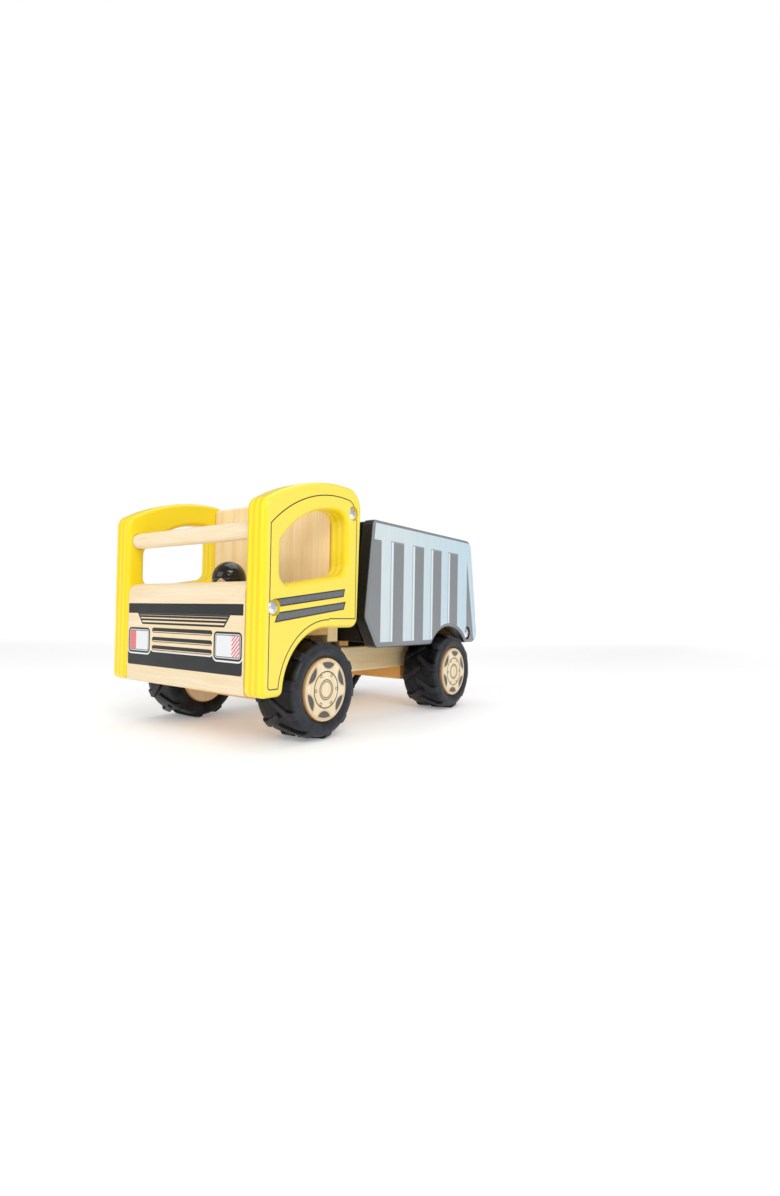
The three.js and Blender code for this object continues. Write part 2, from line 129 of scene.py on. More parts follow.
def rounded(corners: Sequence[Corner]) -> list[Point]:
    """A closed outline with its corners rounded.

    Args:
        corners: Each corner as (u, v) for a sharp one or (u, v, radius) for a round one.

    Returns:
        The outline's points in the same order.
    """
    points: list[Point] = []
    for index, corner in enumerate(corners):
        here = Vector(corner[:2])
        if len(corner) < 3 or corner[2] == 0:
            points.append((here.x, here.y))
            continue
        radius = corner[2]
        back = (Vector(corners[index - 1][:2]) - here).normalized()
        ahead = (Vector(corners[(index + 1) % len(corners)][:2]) - here).normalized()
        half = math.acos(max(-1.0, min(1.0, back.dot(ahead)))) / 2
        centre = here + (back + ahead).normalized() * (radius / math.sin(half))
        start = here + back * (radius / math.tan(half)) - centre
        end = here + ahead * (radius / math.tan(half)) - centre
        first = math.degrees(math.atan2(start.y, start.x))
        sweep = math.degrees(math.atan2(end.y, end.x)) - first
        sweep -= 360 * round(sweep / 360)
        points += arc((centre.x, centre.y), radius, first, first + sweep, 10)
    return points


def oblong(low_u: float, high_u: float, low_v: float, high_v: float, radius: float = 0.0) -> list[Corner]:
    """Corners of a rectangle, all rounded alike."""
    places = ((low_u, low_v), (high_u, low_v), (high_u, high_v), (low_u, high_v))
    return [(*place, radius) for place in places]


# ---------------------------------------------------------------------------------------------
# Shaping pieces
# ---------------------------------------------------------------------------------------------


def pick_only(piece: Piece) -> None:
    """Leaves one object selected and active."""
    bpy.ops.object.select_all(action="DESELECT")
    piece.select_set(True)
    bpy.context.view_layer.objects.active = piece


@contextmanager
def editing(piece: Piece) -> Iterator[bmesh.types.BMesh]:
    """Opens a piece in edit mode with nothing selected, and closes it afterwards.

    Args:
        piece: The mesh object to work on.

    Yields:
        The mesh being edited, for picking faces and edges by their place.
    """
    pick_only(piece)
    bpy.ops.object.mode_set(mode="EDIT")
    bpy.ops.mesh.select_mode(type="VERT")
    bpy.ops.mesh.select_all(action="DESELECT")
    try:
        yield bmesh.from_edit_mesh(piece.data)
    finally:
        bpy.ops.object.mode_set(mode="OBJECT")


def pick_edges(piece: Piece, rule: Callable[[bmesh.types.BMEdge], bool]) -> int:
    """Selects the edges that a rule accepts, in edit mode.

    Args:
        piece: The piece in edit mode.
        rule: Says whether an edge is wanted.

    Returns:
        How many edges were selected.
    """
    bpy.ops.mesh.select_mode(type="EDGE")
    mesh = bmesh.from_edit_mesh(piece.data)
    mesh.normal_update()
    for edge in mesh.edges:
        edge.select_set(bool(rule(edge)))
    bmesh.update_edit_mesh(piece.data)
    return sum(edge.select for edge in mesh.edges)


def is_sharp(edge: bmesh.types.BMEdge, least_degrees: float = 40.0) -> bool:
    """Whether two faces meet at an edge by more than an angle."""
    return len(edge.link_faces) == 2 and edge.calc_face_angle(0.0) > math.radians(least_degrees)


def turn_out(piece: Piece) -> None:
    """Merges doubled corners, drops collapsed faces and turns every face outwards."""
    with editing(piece):
        bpy.ops.mesh.select_all(action="SELECT")
        bpy.ops.mesh.remove_doubles(threshold=1e-6)
        bpy.ops.mesh.dissolve_degenerate(threshold=1e-7)
        bpy.ops.mesh.select_all(action="SELECT")
        bpy.ops.mesh.normals_make_consistent(inside=False)


def ease(
    piece: Piece, width: float, segments: int = 3, rule: Callable[[bmesh.types.BMEdge], bool] = is_sharp
) -> None:
    """Rounds the edges that a rule accepts, as sandpaper does.

    Args:
        piece: The piece to round.
        width: How far the rounding reaches from each edge.
        segments: How many faces it has across.
        rule: Says whether an edge is rounded; every sharp edge by default.
    """
    with editing(piece):
        if pick_edges(piece, rule):
            bpy.ops.mesh.bevel(
                offset=width, offset_type="OFFSET", segments=segments, profile=0.5, affect="EDGES"
            )


def slab(outline: Sequence[Point], low_x: float, high_x: float) -> Piece:
    """A board sawn to a side-view outline and given a width along X.

    Args:
        outline: The (y, z) points of its outline.
        low_x: Where the board starts.
        high_x: Where it ends.

    Returns:
        The closed board with sharp edges.
    """
    bpy.ops.mesh.primitive_circle_add(vertices=len(outline), fill_type="NGON")
    piece = bpy.context.object
    for vertex, (y, z) in zip(piece.data.vertices, outline):
        vertex.co = (low_x, y, z)
    with editing(piece):
        bpy.ops.mesh.select_all(action="SELECT")
        bpy.ops.mesh.extrude_region_move(TRANSFORM_OT_translate={"value": (high_x - low_x, 0, 0)})
    turn_out(piece)
    return piece


def lathe(
    profile: Sequence[Point], centre: Sequence[float], axis: Along = Along.X, steps: int = 64
) -> Piece:
    """A turned piece.

    Args:
        profile: The closed profile as (place along the axis, radius) points.
        centre: A point on the axis; its value along the axis isn't used.
        axis: X for a wheel or a pin, Z for an upright peg.
        steps: How many faces there are around it.

    Returns:
        The closed piece.
    """
    bpy.ops.mesh.primitive_circle_add(vertices=len(profile), fill_type="NOTHING")
    piece = bpy.context.object
    for vertex, (along, radius) in zip(piece.data.vertices, profile):
        if axis is Along.X:
            vertex.co = (along, centre[1], centre[2] + radius)
        else:
            vertex.co = (centre[0], centre[1] - radius, along)
    direction = (1, 0, 0) if axis is Along.X else (0, 0, 1)
    with editing(piece):
        bpy.ops.mesh.select_all(action="SELECT")
        bpy.ops.mesh.spin(steps=steps, angle=2 * math.pi, center=tuple(centre), axis=direction)
    turn_out(piece)
    return piece


def combine(piece: Piece, other: Piece, operation: str, overlapping: bool = False) -> None:
    """Works one shape into a piece and throws that shape away.

    Args:
        piece: The piece that stays.
        other: The shape that is cut out of it or added to it.
        operation: DIFFERENCE or UNION.
        overlapping: Whether the other shape's own parts overlap.
    """
    pick_only(piece)
    modifier = piece.modifiers.new("combine", "BOOLEAN")
    modifier.operation = operation
    modifier.solver = "EXACT"
    modifier.use_self = overlapping
    modifier.object = other
    bpy.ops.object.modifier_apply(modifier=modifier.name)
    bpy.data.objects.remove(other, do_unlink=True)


def cut_away(piece: Piece, cutter: Piece) -> None:
    """Cuts one shape out of a piece."""
    combine(piece, cutter, "DIFFERENCE")


def bore(
    piece: Piece, low_x: float, high_x: float, radius: float, y: float, z: float, steps: int = 40
) -> None:
    """Drills a round hole along X into a piece."""
    cut_away(
        piece, lathe([(low_x, 0), (low_x, radius), (high_x, radius), (high_x, 0)], (0, y, z), steps=steps)
    )


def flared(outline: Sequence[Point], low_x: float, high_x: float, rounding: float, steps: int = 6) -> Piece:
    """A cutter along X that leaves rounded rims where it comes through both faces of a board.

    Args:
        outline: The (y, z) points of the opening, counter-clockwise, without inner corners.
        low_x: Where the board starts.
        high_x: Where it ends.
        rounding: The radius of the rims.
        steps: How many facets each rim has.

    Returns:
        The closed cutter.
    """
    points = [Vector(point) for point in outline]
    outwards = []
    for before, point, after in zip(points[-1:] + points[:-1], points, points[1:] + points[:1]):
        first, second = (point - before).normalized(), (after - point).normalized()
        bend = first + second
        normal = Vector((bend.y, -bend.x)).normalized()
        outwards.append(normal / max(0.5, normal.dot(Vector((first.y, -first.x)))))
    turns = [math.pi / 2 * (step + 0.5) / steps for step in range(steps)]
    rims = [(rounding * (1 - math.cos(turn)), rounding * (1 - math.sin(turn))) for turn in turns]
    levels = [(low_x - 1 * MM, rounding), *((low_x + depth, grown) for depth, grown in rims)]
    levels += [(high_x - depth, grown) for depth, grown in reversed(rims)] + [(high_x + 1 * MM, rounding)]
    bpy.ops.mesh.primitive_circle_add(vertices=len(points), fill_type="NGON")
    piece = bpy.context.object
    for vertex, point, normal in zip(piece.data.vertices, points, outwards):
        vertex.co = (levels[0][0], *(point + normal * levels[0][1]))
    with editing(piece):
        bpy.ops.mesh.select_all(action="SELECT")
        for _ in levels[1:]:
            bpy.ops.mesh.extrude_region_move()
    count = len(points)
    for number, (x, grown) in enumerate(levels):
        for place in range(count):
            piece.data.vertices[number * count + place].co = (x, *(points[place] + outwards[place] * grown))
    turn_out(piece)
    return piece


def joined(pieces: Sequence[Piece]) -> Piece:
    """Joins several objects into the first one."""
    pick_only(pieces[0])
    for piece in pieces[1:]:
        piece.select_set(True)
    bpy.ops.object.join()
    return bpy.context.object


def twin(piece: Piece) -> Piece:
    """The mirror image of a piece across the truck's middle plane, with its faces turned outwards."""
    copy = piece.copy()
    copy.data = piece.data.copy()
    bpy.context.scene.collection.objects.link(copy)
    copy.data.transform(Matrix.Scale(-1, 4, (1, 0, 0)))
    copy.data.flip_normals()
    return copy


def shade(piece: Piece, flattest: float = 38.0) -> None:
    """Gives a piece smooth roundings beside flat faces that stay flat."""
    pick_only(piece)
    bpy.ops.object.shade_smooth_by_angle(angle=math.radians(flattest))
    modifier = piece.modifiers.new("even_faces", "WEIGHTED_NORMAL")
    modifier.keep_sharp = True
    modifier.weight = 100
    bpy.ops.object.modifier_apply(modifier=modifier.name)


def settle(piece: Piece, name: str, body: str, finish: Finish, nodes: Sequence[str]) -> None:
    """Names a finished piece, dresses it and fixes it to its body.

    Args:
        piece: The finished mesh, already in its place.
        name: The piece's name.
        body: The frame's body that it moves with.
        finish: Its material.
        nodes: The frame's nodes that it stands for.
    """
    piece.name = name
    piece.data.name = name
    piece.data.materials.clear()
    piece.data.materials.append(finish)
    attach(piece, body)
    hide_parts(*nodes)
    log.info("%s: %d faces, rides on %s", name, len(piece.data.polygons), body)


def settle_pair(
    piece: Piece, name: str, body: str, finish: Finish, node: str, flattest: float = 38.0
) -> None:
    """Shades a left piece, makes its right twin and settles both.

    Args:
        piece: The finished left mesh, already in its place.
        name: The pair's name, without the side.
        body: The frame's body that both move with.
        finish: Their material.
        node: The name of the frame's nodes that they stand for, without the side.
        flattest: The angle in degrees up to which neighbouring faces look smooth.
    """
    shade(piece, flattest)
    for side, made in ((Side.RIGHT, twin(piece)), (Side.LEFT, piece)):
        settle(made, f"{name}_{side.label}", body, finish, [f"{node}_{side.label}"])


def dress(node_name: str, finish: Finish) -> None:
    """Gives one of the frame's own nodes, kept as it is, a finish."""
    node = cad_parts[node_name]
    node.data.materials.clear()
    node.data.materials.append(finish)


# ---------------------------------------------------------------------------------------------
# Shader building
# ---------------------------------------------------------------------------------------------


def ink(red: int, green: int, blue: int) -> Colour:
    """A screen colour, 0 to 255 a channel, as the linear colour that shaders use."""

    def linear(value: int) -> float:
        """One channel, made linear."""
        share = value / 255
        if share <= SCREEN_KNEE:
            return share / SCREEN_SLOPE
        return ((share + SCREEN_OFFSET) / (1 + SCREEN_OFFSET)) ** SCREEN_POWER

    return (linear(red), linear(green), linear(blue), 1.0)


class Bench:
    """Places nodes in one tree, so that a finish reads as a few plain steps."""

    def __init__(self, tree: Tree) -> None:
        """Starts work on a node tree."""
        self.tree = tree

    def feed(self, socket: Socket, value: object) -> None:
        """Links a socket into an input, or sets the input's own value."""
        if isinstance(value, bpy.types.NodeSocket):
            self.tree.links.new(value, socket)
        elif value is not None:
            socket.default_value = value

    def add(self, kind: str, **settings: object) -> Node:
        """Adds a node and sets its properties."""
        node = self.tree.nodes.new(kind)
        for key, value in settings.items():
            setattr(node, key, value)
        return node

    def math(self, operation: str, first: object, second: object = None, third: object = None) -> Socket:
        """A Math node with up to three inputs."""
        node = self.add("ShaderNodeMath", operation=operation)
        for socket, value in zip(node.inputs, (first, second, third)):
            self.feed(socket, value)
        return node.outputs[0]

    def times(self, first: object, second: object) -> Socket:
        """The product of two values."""
        return self.math("MULTIPLY", first, second)

    def plus(self, first: object, second: object) -> Socket:
        """The sum of two values."""
        return self.math("ADD", first, second)

    def minus(self, first: object, second: object) -> Socket:
        """The first value less the second."""
        return self.math("SUBTRACT", first, second)

    def most(self, first: object, *others: object) -> Socket:
        """The largest of several values."""
        for other in others:
            first = self.math("MAXIMUM", first, other)
        return first

    def least(self, first: object, *others: object) -> Socket:
        """The smallest of several values."""
        for other in others:
            first = self.math("MINIMUM", first, other)
        return first

    def sloped(self, value: object, slope: object, start: object) -> Socket:
        """A value times a slope, plus a start."""
        return self.math("MULTIPLY_ADD", value, slope, start)

    def size_of(self, value: object) -> Socket:
        """A value without its sign."""
        return self.math("ABSOLUTE", value)

    def blend(self, share: object, below: object, above: object, mode: str = "MIX") -> Socket:
        """A colour mixed from two others."""
        node = self.add("ShaderNodeMix", data_type="RGBA", blend_type=mode)
        self.feed(node.inputs[0], share)
        self.feed(node.inputs[6], below)
        self.feed(node.inputs[7], above)
        return node.outputs[2]

    def span(
        self, value: object, low: float, high: float, to_low: float = 0.0, to_high: float = 1.0
    ) -> Socket:
        """A value carried smoothly from one range to another."""
        node = self.add("ShaderNodeMapRange", interpolation_type="SMOOTHSTEP")
        for socket, number in zip(node.inputs, (value, low, high, to_low, to_high)):
            self.feed(socket, number)
        return node.outputs[0]

    def noise(
        self,
        where: Socket,
        scale: float,
        stretch: Sequence[float] = (1, 1, 1),
        detail: float = 3.0,
        roughness: float = 0.55,
    ) -> Socket:
        """Noise, stretched along an axis if asked, from 0 to 1."""
        mapping = self.add("ShaderNodeMapping")
        self.feed(mapping.inputs["Vector"], where)
        mapping.inputs["Scale"].default_value = tuple(stretch)
        node = self.add("ShaderNodeTexNoise")
        self.feed(node.inputs["Vector"], mapping.outputs[0])
        node.inputs["Scale"].default_value = scale
        node.inputs["Detail"].default_value = detail
        node.inputs["Roughness"].default_value = roughness
        return node.outputs["Fac"]

    def group(self, tree: Tree, **inputs: object) -> Node:
        """Places a node group and feeds its inputs, named with underscores for spaces."""
        node = self.add("ShaderNodeGroup", node_tree=tree)
        for key, value in inputs.items():
            self.feed(node.inputs[key.replace("_", " ")], value)
        return node


def open_group(
    name: str, inputs: dict[str, tuple[str, object]], outputs: dict[str, str]
) -> tuple[Bench, Node, Node]:
    """Starts a node group.

    Args:
        name: The group's name.
        inputs: Each input's kind (Float, Vector or Color) and starting value.
        outputs: Each output's kind.

    Returns:
        A bench on the group, its input node and its output node.
    """
    tree = bpy.data.node_groups.new(name, "ShaderNodeTree")
    for label, (kind, value) in inputs.items():
        socket = tree.interface.new_socket(name=label, in_out="INPUT", socket_type=f"NodeSocket{kind}")
        if value is not None:
            socket.default_value = value
    for label, kind in outputs.items():
        tree.interface.new_socket(name=label, in_out="OUTPUT", socket_type=f"NodeSocket{kind}")
    bench = Bench(tree)
    return bench, bench.add("NodeGroupInput"), bench.add("NodeGroupOutput")


class Effects:
    """The node groups that several finishes share."""

    def __init__(self) -> None:
        """Builds each group once."""
        self.grain = self._grain()
        self.plies = self._plies()
        self.patch = self._patch()
        self.disc = self._disc()
        self.handled = self._handled()

    @staticmethod
    def _grain() -> Tree:
        """Streaks, pores and their height, from a place in millimetres whose X runs along the grain."""
        bench, given, out = open_group(
            "timber_grain",
            {"Place": ("Vector", None), "Spread": ("Float", 1.0)},
            {"Streaks": "Float", "Pores": "Float", "Height": "Float"},
        )
        place = given.outputs["Place"]
        wander = bench.noise(place, 0.035, (0.25, 1, 1), 2)
        warped = bench.add("ShaderNodeVectorMath", operation="MULTIPLY_ADD")
        bench.feed(warped.inputs[0], wander)
        warped.inputs[1].default_value = (0, 9, 9)
        bench.feed(warped.inputs[2], place)
        broad = bench.noise(warped.outputs[0], 0.16, (0.06, 1, 1), 3)
        fine = bench.noise(warped.outputs[0], 0.9, (0.035, 1, 1), 4, 0.65)
        thread = bench.noise(warped.outputs[0], 3.2, (0.03, 1, 1), 2)
        mixed = bench.plus(bench.times(broad, 0.55), bench.times(fine, 0.45))
        centred = bench.sloped(bench.minus(mixed, 0.5), given.outputs["Spread"], 0.5)
        bench.feed(out.inputs["Streaks"], bench.span(centred, 0.3, 0.7))
        pores = bench.span(thread, 0.6, 0.74)
        bench.feed(out.inputs["Pores"], pores)
        bench.feed(out.inputs["Height"], bench.minus(bench.times(fine, 0.6), bench.times(pores, 0.5)))
        return bench.tree

    @staticmethod
    def _plies() -> Tree:
        """Plywood layers across a board, shown only where a face looks sideways out of its edge."""
        bench, given, out = open_group(
            "ply_layers",
            {
                "Place": ("Vector", None),
                "Facing": ("Vector", None),
                "Start": ("Float", 66.0),
                "Ply": ("Float", 2.57),
            },
            {"Layer": "Float", "Edge": "Float"},
        )
        parts = bench.add("ShaderNodeSeparateXYZ")
        bench.feed(parts.inputs[0], given.outputs["Place"])
        wobble = bench.noise(given.outputs["Place"], 0.12, (0.2, 1, 1), 2)
        depth = bench.minus(bench.size_of(parts.outputs[0]), given.outputs["Start"])
        depth = bench.plus(depth, bench.times(wobble, 0.7))
        turn = bench.math("DIVIDE", depth, given.outputs["Ply"])
        wave = bench.math("COSINE", bench.times(turn, math.pi))
        bench.feed(out.inputs["Layer"], bench.span(wave, -0.75, 0.75))
        facing = bench.add("ShaderNodeSeparateXYZ")
        bench.feed(facing.inputs[0], given.outputs["Facing"])
        bench.feed(out.inputs["Edge"], bench.span(bench.size_of(facing.outputs[0]), 0.75, 0.35))
        return bench.tree

    @staticmethod
    def _patch() -> Tree:
        """Distance outside a round-cornered rectangle, in millimetres and below zero inside."""
        bench, given, out = open_group(
            "round_cornered_patch",
            {label: ("Float", 0.0) for label in ("U", "V", "Low U", "High U", "Low V", "High V", "Radius")},
            {"Distance": "Float"},
        )
        away: list[Socket] = []
        for axis in ("U", "V"):
            low, high = given.outputs[f"Low {axis}"], given.outputs[f"High {axis}"]
            middle = bench.times(bench.plus(low, high), 0.5)
            half = bench.times(bench.minus(high, low), 0.5)
            offset = bench.size_of(bench.minus(given.outputs[axis], middle))
            away.append(bench.plus(bench.minus(offset, half), given.outputs["Radius"]))
        outside = [bench.most(value, 0.0) for value in away]
        corner = bench.math(
            "SQRT", bench.plus(bench.math("POWER", outside[0], 2.0), bench.math("POWER", outside[1], 2.0))
        )
        inside = bench.least(bench.most(away[0], away[1]), 0.0)
        distance = bench.minus(bench.plus(corner, inside), given.outputs["Radius"])
        bench.feed(out.inputs["Distance"], distance)
        return bench.tree

    @staticmethod
    def _disc() -> Tree:
        """Distance outside a circle, in millimetres and below zero inside."""
        bench, given, out = open_group(
            "round_patch",
            {label: ("Float", 0.0) for label in ("U", "V", "Centre U", "Centre V", "Radius")},
            {"Distance": "Float"},
        )
        squares = [
            bench.math("POWER", bench.minus(given.outputs[axis], given.outputs[f"Centre {axis}"]), 2.0)
            for axis in ("U", "V")
        ]
        reach = bench.math("SQRT", bench.plus(*squares))
        bench.feed(out.inputs["Distance"], bench.minus(reach, given.outputs["Radius"]))
        return bench.tree

    @staticmethod
    def _handled() -> Tree:
        """The marks of handling: soft smudges in the sheen and a few fine scuffs."""
        bench, given, out = open_group(
            "handling_marks", {"Place": ("Vector", None)}, {
                "Smudge": "Float", "Scuff": "Float", "Ripple": "Float"
            }
        )
        place = given.outputs["Place"]
        bench.feed(out.inputs["Smudge"], bench.span(bench.noise(place, 0.06, detail=4), 0.35, 0.7))
        scuff = bench.noise(place, 0.5, (0.25, 1, 1.6), 5, 0.7)
        bench.feed(out.inputs["Scuff"], bench.span(scuff, 0.66, 0.76))
        bench.feed(out.inputs["Ripple"], bench.noise(place, 0.35, detail=3))
        return bench.tree


class Print:
    """A flat print made of inked shapes on one face of a piece, in that face's own millimetres."""

    def __init__(self, bench: Bench, effects: Effects, u: Socket, v: Socket, crisp: float = 0.12) -> None:
        """Starts a print on the plane of two coordinates."""
        self.bench, self.effects, self.u, self.v, self.crisp = bench, effects, u, v, crisp

    def patch(
        self, low_u: float, high_u: float, low_v: float, high_v: float, radius: float = 0.0
    ) -> Socket:
        """Distance outside a round-cornered rectangle."""
        return self.bench.group(
            self.effects.patch,
            U=self.u,
            V=self.v,
            Low_U=low_u,
            High_U=high_u,
            Low_V=low_v,
            High_V=high_v,
            Radius=radius,
        ).outputs[0]

    def disc(self, centre_u: float, centre_v: float, radius: float) -> Socket:
        """Distance outside a circle."""
        return self.bench.group(
            self.effects.disc, U=self.u, V=self.v, Centre_U=centre_u, Centre_V=centre_v, Radius=radius
        ).outputs[0]

    def beyond(self, first: Point, second: Point) -> Socket:
        """Distance to the right of a line walked between two points; the shape is on its left."""
        run_u, run_v = second[0] - first[0], second[1] - first[1]
        length = math.hypot(run_u, run_v)
        slope_u, slope_v = run_v / length, -run_u / length
        offset = -(first[0] * slope_u + first[1] * slope_v)
        return self.bench.sloped(self.u, slope_u, self.bench.sloped(self.v, slope_v, offset))

    def common(self, *distances: Socket) -> Socket:
        """The area that all the given shapes share."""
        return self.bench.most(*distances)

    def either(self, *distances: Socket) -> Socket:
        """The area that any of the given shapes covers."""
        return self.bench.least(*distances)

    def without(self, distance: Socket, removed: Socket) -> Socket:
        """A shape with another taken out of it."""
        return self.common(distance, self.bench.times(removed, -1.0))

    def grown(self, distance: Socket, by: float) -> Socket:
        """A shape made larger all round."""
        return self.bench.minus(distance, by)

    def fill(self, distance: Socket) -> Socket:
        """The ink inside a shape, as a mask."""
        return self.bench.span(distance, self.crisp, -self.crisp)

    def line(self, distance: Socket, width: float) -> Socket:
        """An inked line along a shape's edge, as a mask."""
        return self.fill(self.grown(self.bench.size_of(distance), width / 2))


# ---------------------------------------------------------------------------------------------
# Finishes
# ---------------------------------------------------------------------------------------------


@dataclass(frozen=True)
class Started:
    """A material under construction: its bench, its shader and the places a pattern can read."""

    material: Finish
    bench: Bench
    shader: Node
    place: Socket
    facing: Socket
    x: Socket
    y: Socket
    z: Socket

    def faces(self, axis: int, sign: int) -> Socket:
        """A mask of the faces that look along one axis of the piece; a sign of 0 means both ways."""
        parts = self.bench.add("ShaderNodeSeparateXYZ")
        self.bench.feed(parts.inputs[0], self.facing)
        value = parts.outputs[axis]
        if sign == 0:
            value = self.bench.size_of(value)
        elif sign < 0:
            value = self.bench.times(value, -1.0)
        return self.bench.span(value, 0.9, 0.97)

    def finished(
        self, colour: Socket, rough: Socket, height: Socket, strength: float = 0.35, tall: float = 0.12
    ) -> Finish:
        """Feeds the shader and hands over the material.

        Args:
            colour: The base colour.
            rough: The roughness.
            height: The height of the surface, from 0 to 1.
            strength: How much of that height shows.
            tall: How many millimetres a height of 1 is.

        Returns:
            The finished material.
        """
        bump = self.bench.add("ShaderNodeBump")
        bump.inputs["Strength"].default_value = strength
        bump.inputs["Distance"].default_value = tall * MM
        self.bench.feed(bump.inputs["Height"], height)
        for label, value in (("Base Color", colour), ("Roughness", rough), ("Normal", bump.outputs[0])):
            self.bench.feed(self.shader.inputs[label], value)
        return self.material


def start_material(
    name: str, roughness: float, coat: float = 0.0, coat_roughness: float = 0.1, shine: float = 0.3
) -> Started:
    """Starts a material whose patterns read object coordinates in millimetres.

    Args:
        name: The material's name.
        roughness: Its overall roughness.
        coat: The strength of its clear coat.
        coat_roughness: The roughness of that coat.
        shine: How strongly the surface itself reflects.

    Returns:
        The material with its shader, its place and its facing.
    """
    material = bpy.data.materials.new(name)
    material.use_nodes = True
    bench = Bench(material.node_tree)
    material.node_tree.nodes.clear()
    shader = bench.add("ShaderNodeBsdfPrincipled")
    shader.inputs["Roughness"].default_value = roughness
    shader.inputs["Specular IOR Level"].default_value = shine
    shader.inputs["Coat Weight"].default_value = coat
    shader.inputs["Coat Roughness"].default_value = coat_roughness
    output = bench.add("ShaderNodeOutputMaterial")
    bench.feed(output.inputs["Surface"], shader.outputs[0])
    coordinates = bench.add("ShaderNodeTexCoord")
    place = bench.add("ShaderNodeMapping")
    bench.feed(place.inputs["Vector"], coordinates.outputs["Object"])
    place.inputs["Scale"].default_value = (1 / MM,) * 3
    parts = bench.add("ShaderNodeSeparateXYZ")
    bench.feed(parts.inputs[0], place.outputs[0])
    return Started(material, bench, shader, place.outputs[0], coordinates.outputs["Normal"], *parts.outputs)


@dataclass(frozen=True)
class Timber:
    """Clear-coated natural wood."""

    name: str
    pale: Colour
    deep: Colour
    along: Along
    shift: float = 0.0
    roughness: float = 0.42
    coat: float = 0.25
    pore: Colour = (0.30, 0.16, 0.06, 1.0)

    def lay(self, made: Started, effects: Effects) -> tuple[Socket, Socket, Socket]:
        """Lays the wood's figure in a material.

        Args:
            made: The material under construction.
            effects: The shared node groups.

        Returns:
            The wood's colour, its roughness and its height.
        """
        bench = made.bench
        turn = bench.add("ShaderNodeCombineXYZ")
        order = {
            Along.X: (made.x, made.y, made.z),
            Along.Y: (made.y, made.x, made.z),
            Along.Z: (made.z, made.x, made.y),
        }
        for socket, value in zip(turn.inputs, order[self.along]):
            bench.feed(socket, bench.plus(value, self.shift))
        grain = bench.group(effects.grain, Place=turn.outputs[0], Spread=1.1)
        colour = bench.blend(grain.outputs["Streaks"], self.deep, self.pale)
        tint = bench.noise(turn.outputs[0], 0.028, (0.4, 1, 1), 2)
        colour = bench.blend(bench.times(bench.span(tint, 0.35, 0.7), 0.35), colour, self.deep)
        pore = bench.blend(0.55, self.deep, self.pore)
        colour = bench.blend(bench.times(grain.outputs["Pores"], 0.28), colour, pore)
        marks = bench.group(effects.handled, Place=made.place)
        rough = bench.sloped(marks.outputs["Smudge"], 0.12, self.roughness - 0.05)
        rough = bench.sloped(grain.outputs["Pores"], 0.1, rough)
        return colour, rough, grain.outputs["Height"]

    def build(self, effects: Effects) -> Finish:
        """Builds the plain material."""
        made = start_material(self.name, self.roughness, self.coat, 0.3)
        return made.finished(*self.lay(made, effects))


PALE_PINE = Timber("pale_pine", ink(243, 228, 200), ink(233, 210, 168), Along.X)
WARM_BEECH = Timber("warm_rubberwood", ink(252, 234, 190), ink(243, 208, 150), Along.Y)
# A darker, more saturated copy of the rubberwood for the floor and the blocks that sit in shade under the
# cab and bed: painted shade.
SHADE_DARKENED_BEECH = Timber("shade_darkened_rubberwood", ink(240, 196, 124), ink(224, 166, 84), Along.X)
"""The three timbers; most boards take a copy with its own grain direction."""

ROD_GREY = ink(170, 172, 176)
"""The duller steel of the axles and the pins."""


